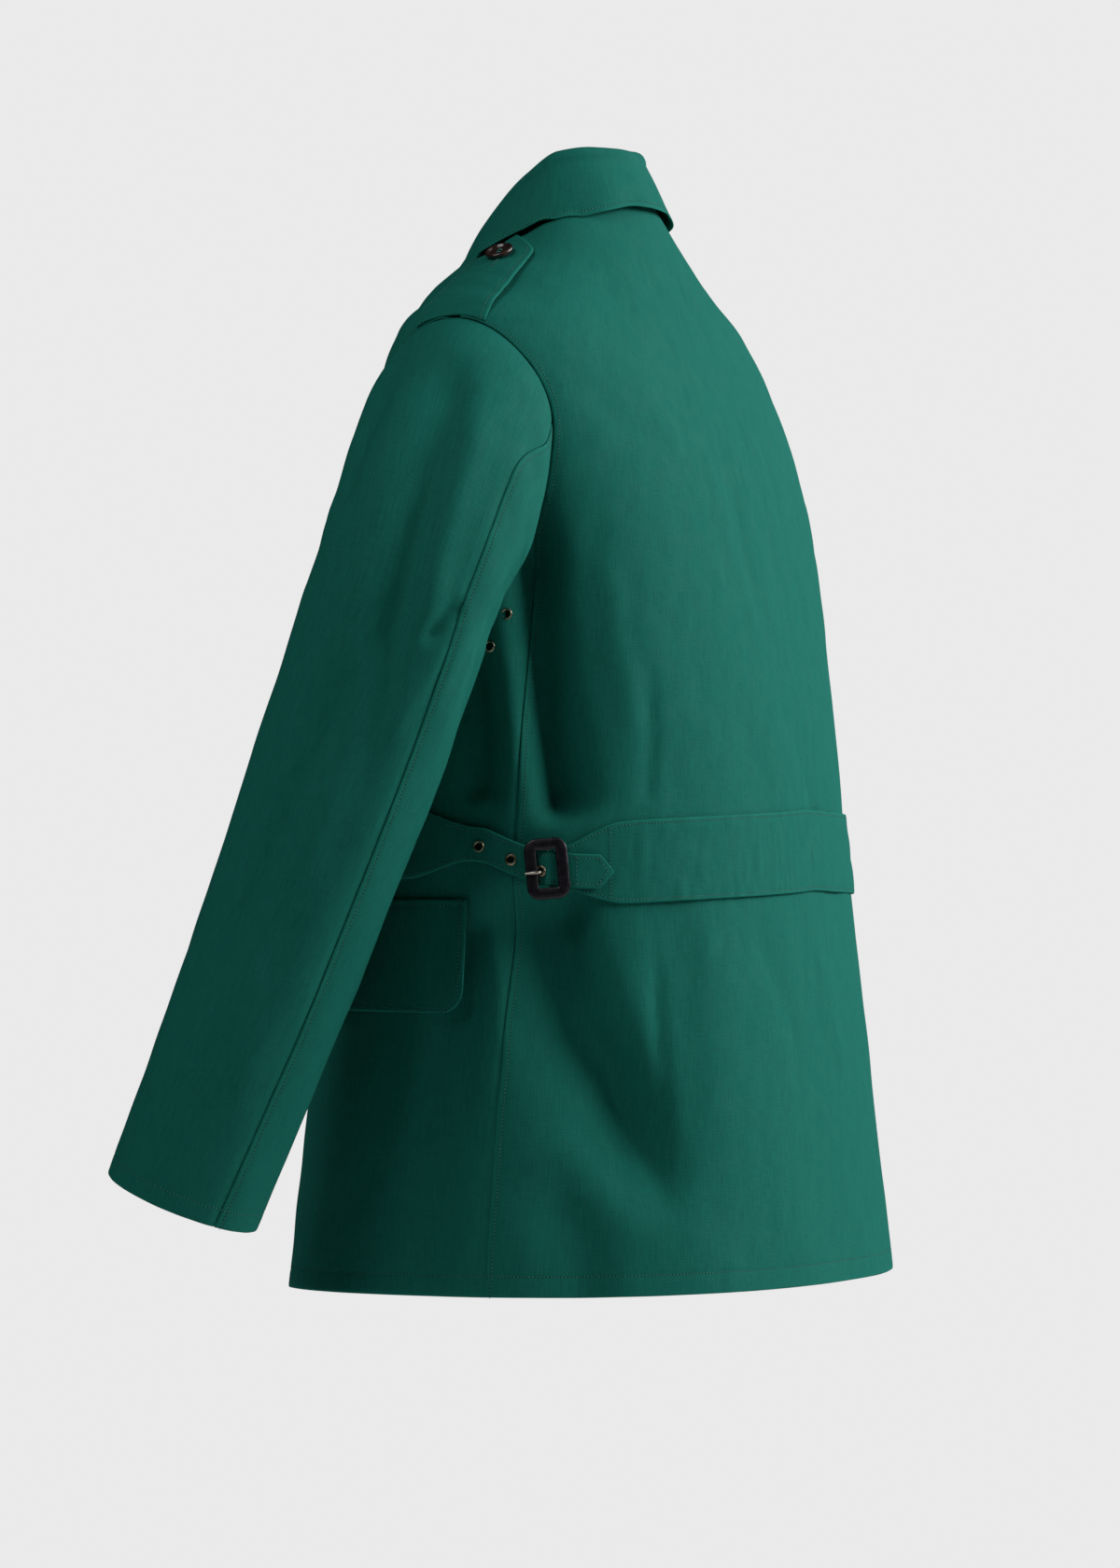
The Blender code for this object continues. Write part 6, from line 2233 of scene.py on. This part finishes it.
def button(name: str, radius: float, at: Array, axes: Array, finishes: Finishes,
           node: str) -> None:
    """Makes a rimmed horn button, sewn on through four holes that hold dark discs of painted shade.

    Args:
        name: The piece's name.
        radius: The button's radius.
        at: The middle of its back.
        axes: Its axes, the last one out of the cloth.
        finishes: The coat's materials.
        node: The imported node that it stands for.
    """
    thick = 0.0040
    dish = thick * 0.52
    profile = [(0.0, dish), (radius * 0.34, dish), (radius * 0.62, dish + thick * 0.02),
               (radius * 0.72, dish + thick * 0.16), (radius * 0.78, thick * 0.93),
               (radius * 0.83, thick), (radius * 0.91, thick * 0.98), (radius * 0.97, thick * .88),
               (radius, thick * 0.68), (radius * 0.985, thick * 0.42),
               (radius * 0.93, thick * 0.18), (radius * 0.75, thick * 0.05),
               (radius * 0.45, 0.0), (0.0, 0.0)]
    parts = [(lathe_mesh(f"{name}_disc", profile, 48, at, axes), finishes.horn)]
    gap = radius * 0.17
    holes = [(gap, gap), (-gap, gap), (-gap, -gap), (gap, -gap)]
    # each thread hole gets a dark disc: painted shade
    for number, (x, y) in enumerate(holes):
        spot = at + axes @ np.array([x, y, dish + 0.00003])
        rim = [(0.0, 0.0), (radius * 0.085, 0.0), (radius * 0.085, -0.0002), (0.0, -0.0002)]
        parts.append((lathe_mesh(f"{name}_hole_{number}", rim, 14, spot, axes), finishes.hole))
    for number, (a, b) in enumerate(((0, 1), (3, 2))):
        ends = [np.array([*holes[a], dish]), np.array([*holes[b], dish])]
        t = np.linspace(0, 1, 9)[:, None]
        line = mix(ends[0], ends[1], t) + np.array([0, 0, 0.00055]) * np.sin(math.pi * t)
        for shift in (-0.00028, 0.00028):
            route = at + (line + np.array([0, shift, 0])) @ axes.T
            parts.append((tube_mesh(f"{name}_thread_{number}", route, 0.00026, 8),
                          finishes.thread))
    mesh = joined(name, parts)
    new_piece(name, mesh, finishes.horn, [node])


@dataclass
class Fastenings:
    """The front buttons and the ventilation eyelets under the arms."""

    finishes: Finishes
    panels: BodyPanels
    column_x: float = 0.068
    heights: Floats = (-0.180, -0.320, -0.460)
    radius: float = 0.0125
    vents: tuple[Pair, ...] = ((0.0300, -0.2620), (0.0190, -0.2840))

    def build(self) -> None:
        """Makes the buttons and the eyelets."""
        for side in Side:
            for number, height in enumerate(self.heights):
                run = BODY.run_at_height(np.array(height))
                angle = BODY.angle_at_x(self.column_x, run)
                if side is Side.RIGHT:
                    angle = -math.pi - angle
                lift = float(self.panels.lap_lift(angle, run) + BODY.relief(angle, run)) + 0.0004
                button(f"{side.word}_front_horn_button_{number + 1}", self.radius,
                       *frame_on(angle, run, lift), self.finishes,
                       f"front_button_{side.word}_{number + 1}")
            for number, (y, z) in enumerate(self.vents):
                angle, run = BODY.beside(np.array(y), np.array(z))
                turn = on_side(angle, side)
                lift = float(BODY.relief(turn, run)) + 0.0004
                eyelet(f"{side.word}_vent_ring_{number + 1}", *frame_on(turn, run, lift),
                       self.finishes, f"vent_eyelet_{side.word}_{number + 1}")


# ---- studio
@dataclass
class Studio:
    """A pale floor, soft lights and the camera."""

    azimuth: float = 114.0
    distance: float = 5.2
    eye_height: float = -0.3766
    pixels_per_metre: float = 1527.0
    pixels_high: float = 1680.0
    shift_pixels: float = 34.0
    floor_height: float = -1.45
    lights: tuple[tuple[str | float, ...], ...] = (
        ("key", 222, 25, 3.2, 1.5, 56), ("key_inner", 190, 26, 3.2, 1.4, 50),
        ("top_left", 70, 46, 3.0, 1.6, 26), ("right", 190, 60, 3.0, 1.6, 6))
    backdrop: float = 0.823
    fill: float = 0.006  # how strongly the backdrop lights the coat
    floor_glow: float = 0.86  # how far the floor shows the backdrop's own shade

    def aim(self, item: Object, target: Vector) -> None:
        """Turns an object's -Z axis towards a target."""
        item.rotation_euler = (target - item.location).to_track_quat("-Z", "Y").to_euler()

    def camera(self) -> None:
        """Makes the camera at the photo's viewing angle."""
        a = math.radians(self.azimuth)
        right = Vector((math.cos(a), math.sin(a), 0))
        back = Vector((math.sin(a), -math.cos(a), 0))
        target = Vector((0, 0, self.eye_height)) - right * (self.shift_pixels
                                                           / self.pixels_per_metre)
        data = bpy.data.cameras.new("camera")
        data.sensor_fit = "VERTICAL"
        data.sensor_height = 36.0
        data.lens = data.sensor_height * self.distance / (self.pixels_high / self.pixels_per_metre)
        data.clip_end = 60.0
        camera = bpy.data.objects.new("camera", data)
        camera.location = target + back * self.distance
        bpy.context.scene.collection.objects.link(camera)
        self.aim(camera, target)
        bpy.context.scene.camera = camera

    def light(self, name: str, azimuth: float, elevation: float, distance: float, size: float,
              power: float) -> None:
        """Makes a soft square light that faces the coat.

        Args:
            name: The light's name.
            azimuth: Degrees, as the camera's.
            elevation: Degrees above level.
            distance: Metres from the coat.
            size: Metres across.
            power: Watts.
        """
        data = bpy.data.lights.new(name, "AREA")
        data.shape, data.size, data.energy = "SQUARE", size, power
        lamp = bpy.data.objects.new(name, data)
        a, e = math.radians(azimuth), math.radians(elevation)
        middle = Vector((0, 0, -0.36))
        lamp.location = middle + distance * Vector((math.sin(a) * math.cos(e),
                                                    -math.cos(a) * math.cos(e), math.sin(e)))
        bpy.context.scene.collection.objects.link(lamp)
        self.aim(lamp, middle)

    def world(self) -> None:
        """Makes a pale backdrop, which lights the coat only a little."""
        world = bpy.data.worlds.new("studio")
        world.use_nodes = True
        tree = world.node_tree
        seen = tree.nodes["Background"]
        seen.inputs["Color"].default_value = (self.backdrop,) * 3 + (1,)
        seen.inputs["Strength"].default_value = 1.0
        soft = tree.nodes.new("ShaderNodeBackground")
        soft.inputs["Color"].default_value = (1.0, 1.0, 1.0, 1)
        soft.inputs["Strength"].default_value = self.fill
        path = tree.nodes.new("ShaderNodeLightPath")
        mixed = tree.nodes.new("ShaderNodeMixShader")
        tree.links.new(path.outputs["Is Camera Ray"], mixed.inputs[0])
        tree.links.new(soft.outputs[0], mixed.inputs[1])
        tree.links.new(seen.outputs[0], mixed.inputs[2])
        tree.links.new(mixed.outputs[0], tree.nodes["World Output"].inputs["Surface"])
        bpy.context.scene.world = world

    def floor(self) -> None:
        """Makes the floor, well below the coat."""
        mesh = bpy.data.meshes.new("studio_floor")
        half, z = 3.5, self.floor_height
        mesh.from_pydata([(-half, -half, z), (half, -half, z), (half, half, z), (-half, half, z)],
                         [], [(0, 1, 2, 3)])
        n = Nodes("pale_floor")
        place = n.add("TexCoord").outputs["Object"]
        grain = n.add("TexNoise", {"Vector": place, "Scale": 3.0, "Detail": 3.0}).outputs[0]
        n.set(Base_Color=n.blend(grain, (0.80, 0.80, 0.80, 1), (0.84, 0.84, 0.84, 1)),
              Roughness=n.range(grain, 0, 1, 0.75, 0.9))
        glow = n.add("Emission", {"Color": (self.backdrop,) * 3 + (1,), "Strength": 1.0})
        seen = n.add("LightPath").outputs["Is Camera Ray"]
        share = n.add("Math", {0: seen, 1: self.floor_glow}, operation="MULTIPLY").outputs[0]
        pale = n.add("MixShader", {0: share, 1: n.shader.outputs[0], 2: glow.outputs[0]})
        n.tree.links.new(pale.outputs[0], n.tree.nodes["Material Output"].inputs["Surface"])
        mesh.materials.append(n.material)
        floor = bpy.data.objects.new("studio_floor", mesh)
        bpy.context.scene.collection.objects.link(floor)

    def build(self) -> None:
        """Makes the studio."""
        self.camera()
        self.world()
        self.floor()
        for name, *sizes in self.lights:
            self.light(name, *sizes)
        bpy.context.scene.view_settings.view_transform = "Standard"


def main() -> None:
    """Builds the coat round its frame."""
    logging.basicConfig(level=logging.INFO, format="%(message)s")
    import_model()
    Studio().build()
    finishes = Finishes()
    seams = Stitching("topstitching", STITCH_PITCH, 0.0018, 0.00050, finishes.thread)
    leather = Stitching("buckle_stitching", 0.0017, 0.0012, 0.00034, finishes.dark_thread,
                        "black_leather")
    panels = BodyPanels(finishes, seams)
    panels.build()
    for side in Side:
        Sleeve(side, finishes, seams).build()
    Collar(finishes, seams).build()
    Belt(finishes, seams, leather).build()
    for side in Side:
        PocketFlap(side, finishes, seams, panels).build()
        ShoulderTab(side, finishes, seams).build()
    Fastenings(finishes, panels).build()
    seams.sew()
    # dark specks between the stitches: painted shade in the needle holes
    seams.holes(finishes.hole).sew()
    leather.sew()


if __name__ == "__main__":
    main()
